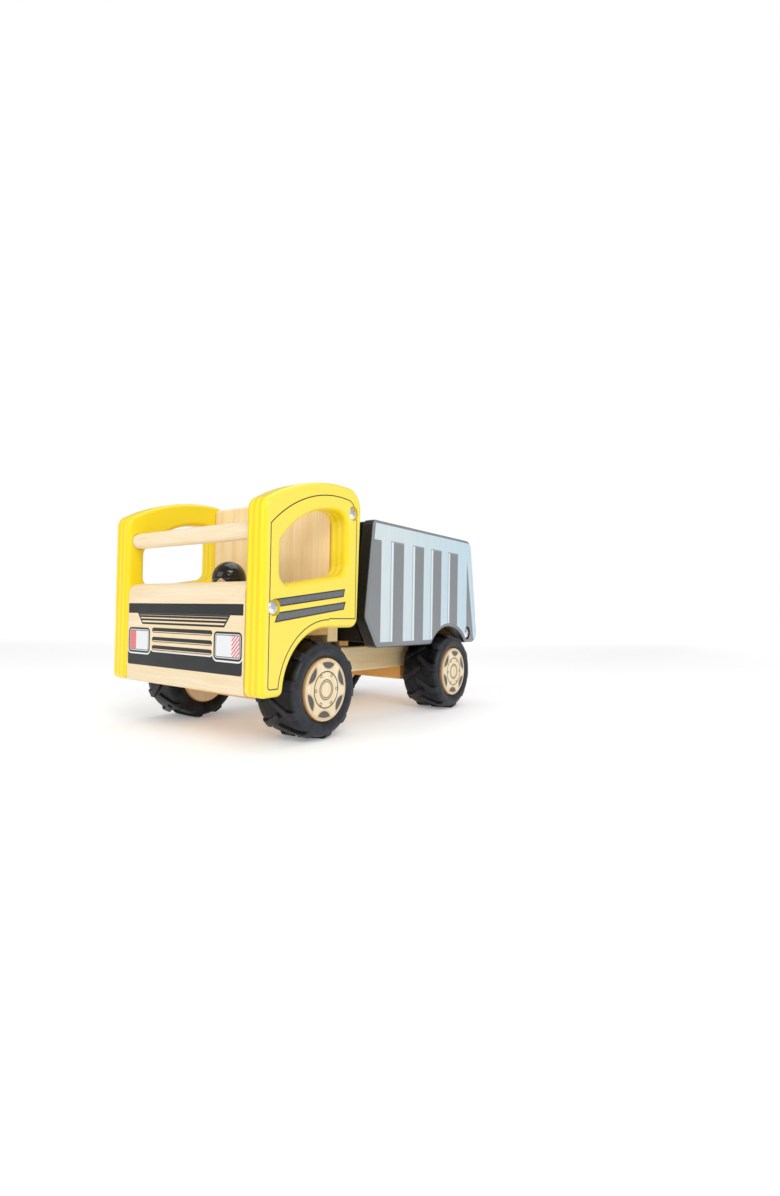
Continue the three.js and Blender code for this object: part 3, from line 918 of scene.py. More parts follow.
@dataclass(frozen=True)
class YellowPanel:
    """Yellow lacquered plywood with its ply lines, door outline and two grey stripes; its outer face takes
    a paler yellow, which is painted sheen.
    """

    yellow: Colour = ink(246, 218, 30)
    # A paler, less saturated yellow on the outer face only: painted sheen of the lacquer where the light
    # falls on it.
    painted_sheen_yellow: Colour = ink(244, 224, 88)
    bright_ply: Colour = ink(246, 226, 34)
    dark_ply: Colour = ink(242, 208, 14)
    outline: Colour = ink(48, 46, 36)
    stripe: Colour = ink(98, 100, 104)
    face_x: float = CAB_FACE_X

    def door(self, page: Print) -> tuple[Socket, Socket]:
        """Draws the door's outline and its stripes.

        Args:
            page: The print on the panel's outer face, whose U runs rearwards and V upwards.

        Returns:
            The thin dark line and the grey stripes, as masks.
        """
        front, rear, foot, sill = -149.0, -61.8, 40.0, 84.3
        roof = page.disc(-82, 74.5, 96.3)
        rounded_rear = page.patch(front - 40, rear, foot, 171.0, 13.0)
        body = page.common(page.patch(front, rear, foot, 230, 2.0), roof, rounded_rear)
        arch = page.disc(FRONT_AXLE_Y, AXLE_Z, 48.5)
        behind_wheel = page.patch(FRONT_AXLE_Y, 20, -60, sill, 1.5)
        line = page.line(page.without(body, page.either(arch, behind_wheel)), 0.75)
        stripes, edges = [], []
        for low_front, low_rear, high_front, high_rear in (
            ((-141.5, 91.6), (-75.7, 100.0), (-145.0, 96.3), (-74.3, 105.6)),
            ((-144.2, 81.7), (-75.3, 90.9), (-141.6, 88.0), (-73.4, 96.4)),
        ):
            band = page.common(
                page.beyond(low_front, low_rear),
                page.beyond(high_rear, high_front),
                page.beyond(low_rear, high_rear),
                page.beyond(high_front, low_front),
            )
            stripes.append(page.fill(band))
            edges.append(page.line(page.grown(band, -0.3), 0.9))
        stripe = page.bench.most(*stripes)
        return page.bench.most(line, page.bench.most(*edges)), stripe

    def build(self, effects: Effects) -> Finish:
        """Builds the material."""
        made = start_material("yellow_plywood", 0.36, 0.4, 0.22)
        bench = made.bench
        plies = bench.group(effects.plies, Place=made.place, Facing=made.facing, Start=self.face_x - 18)
        outer = bench.span(bench.size_of(made.x), self.face_x - 0.5, self.face_x - 0.3)
        layered = bench.blend(plies.outputs["Layer"], self.dark_ply, self.bright_ply)
        figure = bench.noise(made.place, 0.45, (1, 0.05, 1), 3)
        # The paint colour is paler on the outer face, a painted sheen, and is darkened here and there by a
        # faint figure.
        painted = bench.blend(
            bench.times(bench.span(figure, 0.4, 0.75), 0.12),
            bench.blend(outer, self.yellow, self.painted_sheen_yellow),
            self.dark_ply,
        )
        colour = bench.blend(plies.outputs["Edge"], painted, layered)
        page = Print(bench, effects, made.y, made.z)
        line, stripe = self.door(page)
        weave = bench.span(bench.noise(made.place, 2.4, (1, 0.3, 0.3), 2), 0.3, 0.75)
        grey = bench.blend(bench.times(weave, 0.25), self.stripe, ink(134, 137, 141))
        colour = bench.blend(bench.times(stripe, outer), colour, grey)
        colour = bench.blend(bench.times(line, outer), colour, self.outline)
        marks = bench.group(effects.handled, Place=made.place)
        rough = bench.sloped(marks.outputs["Smudge"], 0.1, 0.28)
        rough = bench.sloped(bench.times(stripe, outer), 0.18, rough)
        groove = bench.times(plies.outputs["Layer"], plies.outputs["Edge"])
        height = bench.sloped(groove, 0.9, bench.times(marks.outputs["Ripple"], 0.35))
        return made.finished(colour, rough, height, 0.5)


@dataclass(frozen=True)
class FrontPrint:
    """The pale front block with its printed grille, lamps and bumper."""

    timber: Timber = Timber("printed_front", PALE_PINE.pale, PALE_PINE.deep, Along.X, 37.0)
    black: Colour = ink(26, 28, 29)
    white: Colour = ink(228, 230, 231)
    red: Colour = ink(226, 92, 96)
    tan: Colour = ink(136, 108, 70)
    lamp_grey: Colour = ink(104, 106, 108)
    lamp: Colour = (36.2, 63.9, 56.2, 74.9)
    slots: tuple[float, ...] = (73.4, 66.7, 60.6)
    slot_half: float = 1.9
    grille_ribs: tuple[float, ...] = (83.4, 81.0, 78.3)
    rib_half: float = 0.75

    def build(self, effects: Effects) -> Finish:
        """Builds the material."""
        made = start_material(self.timber.name, 0.42, 0.25, 0.3)
        bench = made.bench
        colour, rough, height = self.timber.lay(made, effects)
        page = Print(bench, effects, made.x, made.z)
        side = Print(bench, effects, bench.size_of(made.x), made.z)
        shown = made.faces(1, -1)

        def lay_ink(mask: Socket, shade_of_ink: object) -> None:
            """Prints one colour over what is there."""
            nonlocal colour
            colour = bench.blend(bench.times(mask, shown), colour, shade_of_ink)

        brow = page.patch(-64.6, 64.6, 85.6, 93.0, 0.4)
        bumper = page.without(page.patch(-64.4, 64.4, 47.0, 70, 1.8), page.patch(-90, 90, 58.3, 90))
        left_slant = page.beyond((-52.4, 85.6), (-46.4, 77.6))
        right_slant = page.beyond((46.4, 77.6), (52.4, 85.6))
        wedge = page.common(page.patch(-60, 60, 77.6, 85.6), left_slant, right_slant)
        low_u, high_u, low_v, high_v = self.lamp
        lamp = side.patch(low_u, high_u, low_v, high_v, 3.4)
        bars = [
            page.patch(-33.6, 34.6, z - self.slot_half, z + self.slot_half, self.slot_half)
            for z in self.slots
        ]
        lay_ink(bench.most(page.fill(brow), page.fill(bumper)), self.black)
        lay_ink(
            page.fill(page.grown(page.either(lamp, bars[-1]), 1.15)),
            bench.blend(page.fill(bumper), colour, self.white),
        )
        for middle in self.grille_ribs:
            rib = page.common(page.patch(-60, 60, middle - self.rib_half, middle + self.rib_half), wedge)
            lay_ink(page.fill(rib), self.black)
        lay_ink(page.fill(page.without(wedge, page.grown(wedge, -1.2))), self.black)
        for centre, bar in zip(self.slots, bars):
            lay_ink(page.fill(bar), self.tan)
            light = page.common(page.grown(bar, -0.75), page.patch(-60, 60, centre - 3, centre - 0.2))
            lay_ink(page.fill(light), self.timber.pale)
            dark = page.common(page.grown(bar, -0.1), page.patch(-60, 60, centre - 0.75, centre + 3))
            lay_ink(page.fill(dark), self.black)
        lay_ink(page.fill(lamp), self.black)
        lay_ink(page.fill(page.grown(lamp, -1.4)), self.white)
        lay_ink(page.fill(page.grown(lamp, -1.9)), self.lamp_grey)
        inner = page.grown(lamp, -2.5)
        speck = bench.span(bench.noise(made.place, 2.2, detail=1), 0.35, 0.8)
        glass = bench.blend(bench.times(speck, 0.35), self.white, ink(214, 220, 224))
        lay_ink(page.fill(inner), glass)
        strip = page.common(inner, side.patch(54.0, 70, 40, 90))
        slant = bench.minus(made.x, made.z)
        hatch = bench.span(bench.math("SINE", bench.times(slant, 2.2)), -0.1, 0.1, 1.0, 0.0)
        hatch = bench.most(hatch, bench.span(made.x, -1, 1, 0.8, 0.0))
        lay_ink(bench.times(page.fill(strip), hatch), self.red)
        return made.finished(colour, rough, height)


@dataclass(frozen=True)
class HubPrint:
    """A pale wooden wheel disc with a printed rim, slots, bolts and cap on its outer face."""

    timber: Timber
    axle_y: float
    axle_z: float = AXLE_Z
    radius: float = HUB_RADIUS
    brown: Colour = ink(56, 52, 53)
    toasted: Colour = ink(206, 150, 72)
    slots: int = 6
    first_slot: float = 84.0
    slot_ring: float = 22.2
    slot_radius: float = 8.0
    bolt_ring: float = 11.0
    rings: tuple[Point, ...] = ((12.6, 0.9), (6.9, 0.7), (5.5, 0.6))

    def build(self, effects: Effects) -> Finish:
        """Builds the material."""
        made = start_material(self.timber.name, 0.42, 0.25, 0.3)
        bench = made.bench
        colour, rough, height = self.timber.lay(made, effects)
        page = Print(bench, effects, bench.minus(made.y, self.axle_y), bench.minus(made.z, self.axle_z))
        reach = page.disc(0, 0, 0)
        outer = bench.times(made.faces(0, 0), bench.span(bench.size_of(made.x), 80.0, 80.4))
        edge = bench.span(reach, self.radius - 1.5, self.radius - 0.6)
        colour = bench.blend(bench.times(edge, 0.7), colour, self.toasted)
        dark: list[Socket] = []
        for number in range(self.slots):
            turn = math.radians(self.first_slot - number * 360 / self.slots)
            cut = page.disc(
                self.slot_ring * math.cos(turn), self.slot_ring * math.sin(turn), self.slot_radius
            )
            lens = page.common(page.disc(0, 0, self.radius - 2.4), cut)
            dark.append(page.fill(page.grown(lens, -0.35)))
            dark.append(bench.times(page.line(page.grown(lens, 0.35), 0.3), 0.6))
            turn -= math.radians(180 / self.slots - 6)
            bolt = page.disc(self.bolt_ring * math.cos(turn), self.bolt_ring * math.sin(turn), 1.0)
            dark.append(page.line(bolt, 0.55))
        dark += [page.line(page.disc(0, 0, radius), width) for radius, width in self.rings]
        dark.append(bench.times(page.line(page.disc(0, 0, self.radius - 1.8), 0.3), 0.5))
        mask = bench.most(*dark)
        ring = bench.times(page.fill(page.without(page.disc(0, 0, 6.6), page.disc(0, 0, 5.6))), 0.35)
        colour = bench.blend(bench.times(ring, outer), colour, self.toasted)
        colour = bench.blend(bench.times(bench.times(mask, outer), 0.92), colour, self.brown)
        return made.finished(colour, rough, height)


@dataclass(frozen=True)
class BedPrint:
    """A dark board whose outer face is grey with pale ribs, as a tipper's side is pressed."""

    charcoal: Colour = ink(20, 20, 21)
    grey: Colour = ink(128, 133, 136)
    stripe: Colour = ink(134, 137, 140)
    pale: Colour = ink(200, 216, 222)
    bright: Colour = ink(222, 234, 240)
    face_x: float = BED_FACE_X
    rib_top: float = 147.0
    rib_foot: float = 65.6
    first_rib: float = -20.5
    ribs: tuple[tuple[float, float], ...] = ((-3.0, 12.2), (30.5, 45.0), (61.9, 76.8), (94.0, 109.2))

    def build(self, effects: Effects) -> Finish:
        """Builds the material."""
        made = start_material("grey_printed_board", 0.42, 0.3, 0.2)
        bench = made.bench
        page = Print(bench, effects, made.y, made.z)
        marks = bench.group(effects.handled, Place=made.place)
        board = page.common(
            page.patch(-60, 200, 64.2, 160.2, 4.0),
            page.beyond((-28.6, 163), (-38.2, 85)),
            page.beyond((-38.2, 86), (-21.0, 61)),
            page.beyond((153.6, 61), (137.4, 163)),
        )
        board = page.without(board, page.disc(REAR_AXLE_Y, AXLE_Z, 45.6))
        leads = [self.first_rib - 200, *(low for low, _ in self.ribs)]
        heads = [self.first_rib, *(high for _, high in self.ribs)]
        ribs = [page.patch(low, high, 0, self.rib_top) for low, high in zip(leads, heads)]
        sliver = page.common(page.patch(129.3, 160, 0, 141), page.beyond((143.0, 76), (129.6, 141)))
        foot = page.patch(-200, 118, -50, self.rib_foot)
        field = page.without(board, page.either(*ribs, foot, sliver))
        ground = bench.blend(page.fill(board), self.grey, self.stripe)
        mottle = bench.span(bench.noise(made.place, 0.9, detail=3), 0.3, 0.75)
        ground = bench.blend(bench.times(mottle, 0.14), ground, ink(104, 108, 112))
        # The pale print turns bluer towards the tail: painted reflection of the light on the board.
        tail_reflection_tint = bench.span(made.y, -40, 150)
        pale = bench.blend(tail_reflection_tint, ink(206, 217, 220), ink(190, 214, 226))
        pale = bench.blend(
            bench.times(bench.span(bench.noise(made.place, 0.25, (1, 1, 0.15)), 0.35, 0.7), 0.2),
            pale,
            self.bright,
        )
        colour = bench.blend(page.fill(field), ground, pale)
        for low, high in self.ribs:
            border = page.patch(low - 3.6, high + 0.3, -20, self.rib_top + 0.5)
            border = page.line(page.common(border, page.patch(low - 9, high + 0.2, -60, 300)), 0.8)
            shadow = bench.times(border, page.fill(page.without(page.grown(board, -0.2), foot)))
            colour = bench.blend(bench.times(shadow, 0.75), colour, ink(112, 122, 130))
            lit = page.common(page.patch(low - 2.9, low - 0.2, 0, self.rib_top), field)
            colour = bench.blend(bench.times(page.fill(lit), 0.8), colour, self.bright)
        outer = bench.span(bench.size_of(made.x), self.face_x - 1.3, self.face_x - 0.7)
        figure = bench.noise(made.place, 0.5, (1, 0.08, 1), 3)
        charcoal = bench.blend(bench.span(figure, 0.35, 0.75), self.charcoal, ink(30, 30, 31))
        charcoal = bench.blend(bench.times(marks.outputs["Scuff"], 0.25), charcoal, ink(92, 92, 92))
        rough = bench.sloped(marks.outputs["Smudge"], 0.14, 0.34)
        height = bench.sloped(figure, 0.5, bench.times(marks.outputs["Ripple"], 0.4))
        return made.finished(bench.blend(outer, charcoal, colour), rough, height, 0.4)


@dataclass(frozen=True)
class Paint:
    """Satin paint over wood, whose grain still telegraphs through."""

    name: str
    colour: Colour
    worn: Colour
    roughness: float = 0.4
    stretch: tuple[float, float, float] = (0.06, 1, 1)

    def build(self, effects: Effects) -> Finish:
        """Builds the material."""
        made = start_material(self.name, self.roughness, 0.1, 0.3, shine=0.12)
        bench = made.bench
        figure = bench.noise(made.place, 0.6, self.stretch, 4)
        marks = bench.group(effects.handled, Place=made.place)
        colour = bench.blend(bench.times(bench.span(figure, 0.35, 0.75), 0.4), self.colour, self.worn)
        colour = bench.blend(bench.times(marks.outputs["Scuff"], 0.3), colour, self.worn)
        rough = bench.sloped(marks.outputs["Smudge"], 0.15, self.roughness - 0.06)
        return made.finished(colour, rough, bench.sloped(figure, 0.6, marks.outputs["Ripple"]), 0.3, 0.1)


@dataclass(frozen=True)
class Rubber:
    """Black moulded tyre rubber, a little greyer where it is rubbed and dusty, with a lighter grey on the
    outer sidewall as painted sheen.
    """

    axle_y: float
    axle_z: float = AXLE_Z
    black: Colour = ink(9, 9, 11)
    # The grey of rubbed, dusty rubber, also used for the painted sheen on the outer sidewall.
    grey: Colour = ink(58, 60, 66)

    def build(self, effects: Effects) -> Finish:
        """Builds the material."""
        made = start_material("tyre_rubber", 0.55, shine=0.2)
        bench = made.bench
        wheel = Print(bench, effects, bench.minus(made.y, self.axle_y), bench.minus(made.z, self.axle_z))
        reach = wheel.disc(0, 0, 0)
        marks = bench.group(effects.handled, Place=made.place)
        pebble = bench.noise(made.place, 2.6, detail=3)
        dust_and_sheen = bench.times(bench.span(bench.noise(made.place, 0.12, detail=4), 0.35, 0.7), 0.35)
        dust_and_sheen = bench.sloped(bench.span(reach, 34.2, 34.9), 0.3, dust_and_sheen)
        # The outer sidewall is painted a lighter grey: painted sheen of the light on the rubber.
        sidewall_sheen = bench.span(bench.size_of(made.x), 78.5, 82.5, 0.0, 0.55)
        dust_and_sheen = bench.plus(dust_and_sheen, sidewall_sheen)
        colour = bench.blend(dust_and_sheen, self.black, self.grey)
        colour = bench.blend(bench.times(marks.outputs["Scuff"], 0.25), colour, self.grey)
        rough = bench.sloped(marks.outputs["Smudge"], 0.16, 0.34)
        rings = bench.span(bench.math("SINE", bench.times(reach, 4.2)), -0.4, 0.4)
        sidewall = bench.times(bench.span(reach, 31.2, 29.8), bench.span(reach, 24.6, 25.2))
        moulded = bench.times(bench.times(rings, sidewall), 0.35)
        return made.finished(colour, rough, bench.plus(bench.times(pebble, 0.5), moulded))


@dataclass(frozen=True)
class Steel:
    """Bright plated steel with turning marks round its own axis."""

    name: str
    y: float
    z: float
    colour: Colour = ink(238, 239, 241)
    roughness: float = 0.28

    def build(self, effects: Effects) -> Finish:
        """Builds the material."""
        made = start_material(self.name, self.roughness, shine=0.5)
        made.shader.inputs["Metallic"].default_value = 0.92
        bench = made.bench
        page = Print(bench, effects, bench.minus(made.y, self.y), bench.minus(made.z, self.z))
        marks = bench.group(effects.handled, Place=made.place)
        turned = bench.math("SINE", bench.times(page.disc(0, 0, 0), 18.0))
        tint = bench.times(marks.outputs["Smudge"], 0.25)
        colour = bench.blend(tint, self.colour, ink(186, 190, 196))
        rough = bench.sloped(marks.outputs["Smudge"], 0.12, self.roughness - 0.04)
        return made.finished(colour, rough, bench.sloped(turned, 0.3, marks.outputs["Ripple"]), 0.15, 0.05)


@dataclass(frozen=True)
class DriverPaint:
    """The peg driver's painted coat and its head: a plain wooden face under glossy black hair."""

    peg_y: float = DRIVER_Y
    head_z: float = DRIVER_HEAD_Z
    turn: float = 22.0

    def head(self, effects: Effects) -> Finish:
        """Builds the head's material: hair above a pointed parting, two eyes and a short smile."""
        timber = Timber("driver_head", ink(244, 218, 184), ink(228, 190, 146), Along.Z, 11.0)
        made = start_material(timber.name, 0.3, 0.6, 0.06)
        bench = made.bench
        skin, rough, height = timber.lay(made, effects)
        turn = math.radians(self.turn)
        ahead_x, ahead_y = math.sin(turn), -math.cos(turn)
        from_y = bench.minus(made.y, self.peg_y)
        ahead = bench.sloped(made.x, ahead_x, bench.times(from_y, ahead_y))
        across = bench.sloped(made.x, -ahead_y, bench.times(from_y, ahead_x))
        page = Print(bench, effects, across, bench.minus(made.z, self.head_z), 0.1)
        turned = bench.size_of(bench.math("ARCTAN2", across, ahead))
        hairline = bench.sloped(turned, 8.4, page.v)
        wisp = bench.times(bench.noise(made.place, 0.8), 0.6)
        face = bench.span(bench.plus(hairline, wisp), 0.15, -0.15)
        front = bench.span(ahead, -0.5, 0.5)
        eyes = bench.most(page.fill(page.disc(-3.7, -4.6, 0.95)), page.fill(page.disc(3.7, -4.6, 0.95)))
        smile = page.line(page.disc(0, -5.4, 3.4), 0.55)
        smile = bench.times(smile, bench.span(page.v, -7.4, -7.7))
        marks = bench.times(bench.most(eyes, smile), front)
        colour = bench.blend(marks, skin, ink(40, 30, 28))
        colour = bench.blend(face, ink(18, 14, 15), colour)
        rough = bench.blend(face, (0.1, 0.1, 0.1, 1), rough)
        return made.finished(colour, rough, bench.times(height, face), 0.3, 0.1)

    def coat(self, effects: Effects) -> Finish:
        """Builds the coat's material: satin blue with a pale collar band."""
        made = start_material("driver_coat", 0.36, 0.4, 0.12)
        bench = made.bench
        marks = bench.group(effects.handled, Place=made.place)
        figure = bench.noise(made.place, 0.6, (1, 1, 0.06), 3)
        blue = bench.blend(bench.span(figure, 0.35, 0.7), ink(44, 92, 142), ink(54, 106, 158))
        collar = bench.times(bench.span(made.z, 98.0, 98.3), bench.span(made.z, 100.3, 100.0))
        colour = bench.blend(collar, blue, ink(232, 228, 216))
        rough = bench.sloped(marks.outputs["Smudge"], 0.14, 0.3)
        return made.finished(colour, rough, bench.sloped(figure, 0.5, marks.outputs["Ripple"]), 0.3, 0.1)


# ---------------------------------------------------------------------------------------------
# Sub-assemblies
# ---------------------------------------------------------------------------------------------


def on_a_face(edge: bmesh.types.BMEdge) -> bool:
    """Whether a sharp edge runs round a board's broad face, square to X."""
    first, second = edge.verts
    return is_sharp(edge) and abs(first.co.x - second.co.x) < 1e-6


def scaled(points: Sequence[Corner]) -> list[Corner]:
    """Corners given in millimetres, in metres."""
    return [tuple(value * MM for value in point) for point in points]


@dataclass
class Screw:
    """A truss-head screw along X with a cross recess, at home in a counterbored hole on the left side."""

    y: float
    z: float
    face_x: float
    head: float = 4.6 * MM
    tall: float = 2.1 * MM
    shank: float = 1.9 * MM
    length: float = 34 * MM
    recess: float = 2.4 * MM
    clearance: float = 0.7 * MM
    chamfer: float = 0.35 * MM

    def drill(self, panel: Piece) -> None:
        """Drills the clearance hole, the counterbore and its small chamfer into a panel."""
        end, seat, rim, beyond = (
            self.face_x + step for step in (-30 * MM, -self.recess, -self.chamfer, 1 * MM)
        )
        narrow, wide = self.shank + 0.4 * MM, self.head + self.clearance
        mouth = wide + self.chamfer + 1 * MM
        hole = [
            (end, 0), (end, narrow), (seat, narrow), (seat, wide), (rim, wide), (beyond, mouth), (beyond, 0)
        ]
        cut_away(panel, lathe(hole, (0, self.y, self.z), steps=48))

    def build(self) -> Piece:
        """Turns the head and shank and cuts the cross recess."""
        seat = self.face_x - self.recess + 0.3 * MM
        crown = seat + self.tall
        dome_radius = (self.head**2 + (self.tall * 0.75) ** 2) / (2 * self.tall * 0.75)
        dome_centre = crown - dome_radius
        rim = self.head - 0.25 * MM
        dome = [
            (
                dome_centre + math.sqrt(dome_radius**2 - (rim * share) ** 2), rim * share
            ) for share in (1, 0.85, 0.68, 0.5, 0.32, 0.15)
        ]
        profile = [
            (seat - self.length, 0),
            (seat - self.length + self.shank, self.shank),
            (seat, self.shank),
            (seat, self.head - 0.2 * MM),
            (seat + 0.2 * MM, self.head),
            *dome,
            (crown, 0),
        ]
        screw = lathe(profile, (0, self.y, self.z), steps=40)
        arm, wide, deep = self.head * 0.52, 0.62 * MM, 1.25 * MM
        for reach_y, reach_z in ((arm, wide), (wide, arm)):
            corners = oblong(
                self.y - reach_y, self.y + reach_y, self.z - reach_z, self.z + reach_z, 0.3 * MM
            )
            cut_away(screw, slab(rounded(corners), crown - deep, crown + 1 * MM))
        ease(
            screw,
            0.12 * MM,
            2,
            lambda edge: is_sharp(edge, 50) and edge.verts[0].co.x > seat + self.tall * 0.3,
        )
        return screw


@dataclass
class Cab:
    """The cab: two yellow sides, the printed front block, rear wall, floor, dowel and screws."""

    outer_x: float = CAB_FACE_X * MM
    panel: float = 18 * MM
    rounding: float = 3.4 * MM
    roof: tuple[float, float, float] = (-77 * MM, 32 * MM, 148 * MM)
    window_top: tuple[float, float, float] = (-83 * MM, 89.2 * MM, 72 * MM)
    axle: Point = (FRONT_AXLE_Y * MM, AXLE_Z * MM)
    arch: float = 42.8 * MM
    board_x: float = BOARD_END_X * MM
    body: str = "chassis"

    def side_outline(self) -> list[Point]:
        """The side panel's outline."""
        front, rear, rear_top, foot, skirt = -154 * MM, -58 * MM, -55 * MM, 34.5 * MM, 77.8 * MM
        roof_y = self.roof[0]
        roof = [(y * MM, height_on(self.roof, y * MM)) for y in range(-80, -143, -4)]
        corners: list[Corner] = [
            (front, foot, 4.5 * MM),
            (self.axle[0] - self.arch, foot, 4.5 * MM),
            *arc(self.axle, self.arch, 180, 90)[1:],
            (rear, skirt, 7 * MM),
            (rear_top, height_on(self.roof, roof_y), 15 * MM),
            (roof_y, height_on(self.roof, roof_y)),
            *roof,
            (front, height_on(self.roof, front), 9 * MM),
        ]
        return rounded(corners)

    def window_outline(self) -> list[Point]:
        """The window opening's outline."""
        front, rear = -139.5 * MM, -71.8 * MM
        top = [(y * MM, height_on(self.window_top, y * MM)) for y in range(-131, -82, 4)]
        corners: list[Corner] = [
            (front, 104.8 * MM, 8 * MM),
            (front, height_on(self.window_top, front), 6 * MM),
            *top,
            (rear, height_on(self.window_top, rear), 10 * MM),
            (rear, 116.2 * MM, 9 * MM),
        ]
        return rounded(corners)

    def sides(self, finish: Finish, steel: Callable[[Screw], Finish]) -> None:
        """Builds both side panels with their four screws."""
        inner_x = self.outer_x - self.panel
        screws = {
            "front_screw": Screw(-144.5 * MM, 91 * MM, self.outer_x),
            "rear_screw": Screw(-65 * MM, 161.5 * MM, self.outer_x),
        }
        panel = slab(self.side_outline(), inner_x, self.outer_x)
        ease(panel, self.rounding, 5, on_a_face)
        cut_away(panel, flared(self.window_outline()[::-1], inner_x, self.outer_x, self.rounding))
        for screw in screws.values():
            screw.drill(panel)
        rail_hole, deep = 6.3 * MM, 8 * MM
        bore(panel, inner_x - 1 * MM, inner_x + deep, rail_hole, RAIL_Y * MM, RAIL_Z * MM)
        for name, screw in screws.items():
            settle_pair(screw.build(), f"steel_{name}", self.body, steel(screw), name, 30)
        settle_pair(panel, "cab_panel", self.body, finish, "cab_side")

    def front(self, finish: Finish) -> None:
        """Builds the front block with its rounded top."""
        front, rear, foot, top = -152.8 * MM, -134.8 * MM, 34.5 * MM, 108 * MM
        outline = rounded(
            [(front, foot, 1.6 * MM), (rear, foot, 1.6 * MM), (rear, top, 3 * MM), (front, top, 8 * MM)]
        )
        block = slab(outline, -self.board_x, self.board_x)
        ease(block, 0.7 * MM, 2, on_a_face)
        shade(block)
        settle(block, "grille_block", self.body, finish, ["front_block"])

    def rear_wall(self, finish: Finish) -> None:
        """Builds the wall behind the driver, notched over the front wheels."""
        notch_top, notch_from, notch_to = 66.8, CHASSIS_HALF_WIDTH, 80.0
        wall = slab(rounded(scaled(oblong(-71, -59, 60.3, 176.5, 2.4))), -self.board_x, self.board_x)
        for low_x, high_x in ((-notch_to, -notch_from), (notch_from, notch_to)):
            cut_away(wall, slab(rounded(scaled(oblong(-90, -40, 30, notch_top))), low_x * MM, high_x * MM))
        ease(wall, 0.8 * MM, 2)
        shade(wall)
        settle(wall, "cab_back_board", self.body, finish, ["cab_rear_wall"])

    def floor(self, finish: Finish) -> None:
        """Builds the floor with the driver's seat hole."""
        board = slab(rounded(scaled(oblong(-134.5, -71.3, 71.8, 79.8))), -self.board_x, self.board_x)
        seat, below, above = 13.1 * MM, 60 * MM, 90 * MM
        hole = [(below, 0), (below, seat), (above, seat), (above, 0)]
        cut_away(board, lathe(hole, (0, DRIVER_Y * MM, 0), Along.Z, 64))
        ease(board, 0.7 * MM, 2)
        shade(board)
        settle(board, "cab_floor_board", self.body, finish, ["cab_floor"])

    def dowel(self, finish: Finish) -> None:
        """Turns the rail across the windscreen, its ends chamfered inside the panels."""
        end, radius, chamfer = 73.7 * MM, 6 * MM, 1 * MM
        half = [(end - chamfer, radius), (end, radius - chamfer), (end, 0)]
        profile = [(-x, reach) for x, reach in reversed(half)] + half
        rail = lathe(profile, (0, RAIL_Y * MM, RAIL_Z * MM), steps=56)
        shade(rail)
        settle(rail, "windscreen_rail", self.body, finish, ["windscreen_dowel"])


@dataclass
class Chassis:
    """The plank chassis with its axle blocks and the block that the bed turns on."""

    half: float = CHASSIS_HALF_WIDTH * MM
    top: float = CHASSIS_TOP * MM
    underside: float = 38.5 * MM
    ends: tuple[float, float] = (-134.5 * MM, 141 * MM)
    body: str = "chassis"
    pivot: Point = (PIVOT_Y * MM, PIVOT_Z * MM)

    def beam(self, finish: Finish) -> None:
        """Builds the plank."""
        outline = oblong(*self.ends, self.underside, self.top)
        plank = slab(rounded(outline), -self.half, self.half)
        ease(plank, 1.6 * MM, 3)
        shade(plank)
        settle(plank, "chassis_plank", self.body, finish, ["chassis_beam"])

    def axle_block(self, name: str, axle_y: float, finish: Finish) -> None:
        """Builds one axle block, grooved from above for its axle."""
        foot, top, reach, groove = 26 * MM, self.underside - 0.3 * MM, 26 * MM, 3.4 * MM
        corners: list[Corner] = [
            (axle_y - reach, foot, 2 * MM),
            (axle_y + reach, foot, 2 * MM),
            (axle_y + reach, top),
            (axle_y + groove, top),
            *arc((axle_y, AXLE_Z * MM), groove, 0, -180, 15),
            (axle_y - groove, top),
            (axle_y - reach, top),
        ]
        block = slab(rounded(corners), -self.half, self.half)
        ease(block, 0.5 * MM, 2, on_a_face)
        shade(block)
        settle(block, f"{name}_axle_bolster", self.body, finish, [f"{name}_axle_block"])

    def pivot_block(self, finish: Finish) -> None:
        """Builds the cross block at the tail, rounded behind its screws so that the bed clears it."""
        y, z = self.pivot
        radius, front = 9.8 * MM, y - 10.6 * MM
        corners: list[Corner] = [
            (front, self.top + 0.3 * MM, 1 * MM),
            (y + radius, self.top + 0.3 * MM),
            *arc(self.pivot, radius, 0, 90, 9),
            (front, z + radius, 2 * MM),
        ]
        width = 65.5 * MM
        block = slab(rounded(corners), -width, width)
        for side in Side:
            near, far = sorted((side.value * 40 * MM, side.value * 70 * MM))
            bore(block, near, far, 3.4 * MM, y, z, 24)
        ease(block, 0.6 * MM, 2, on_a_face)
        shade(block)
        settle(block, "tipping_block", self.body, finish, ["bed_pivot_block"])

    def plain_parts(self, finish: Finish) -> None:
        """Dresses the frame's own packer and bed rest."""
        for name in ("cab_floor_packer", "bed_rest"):
            dress(name, finish)


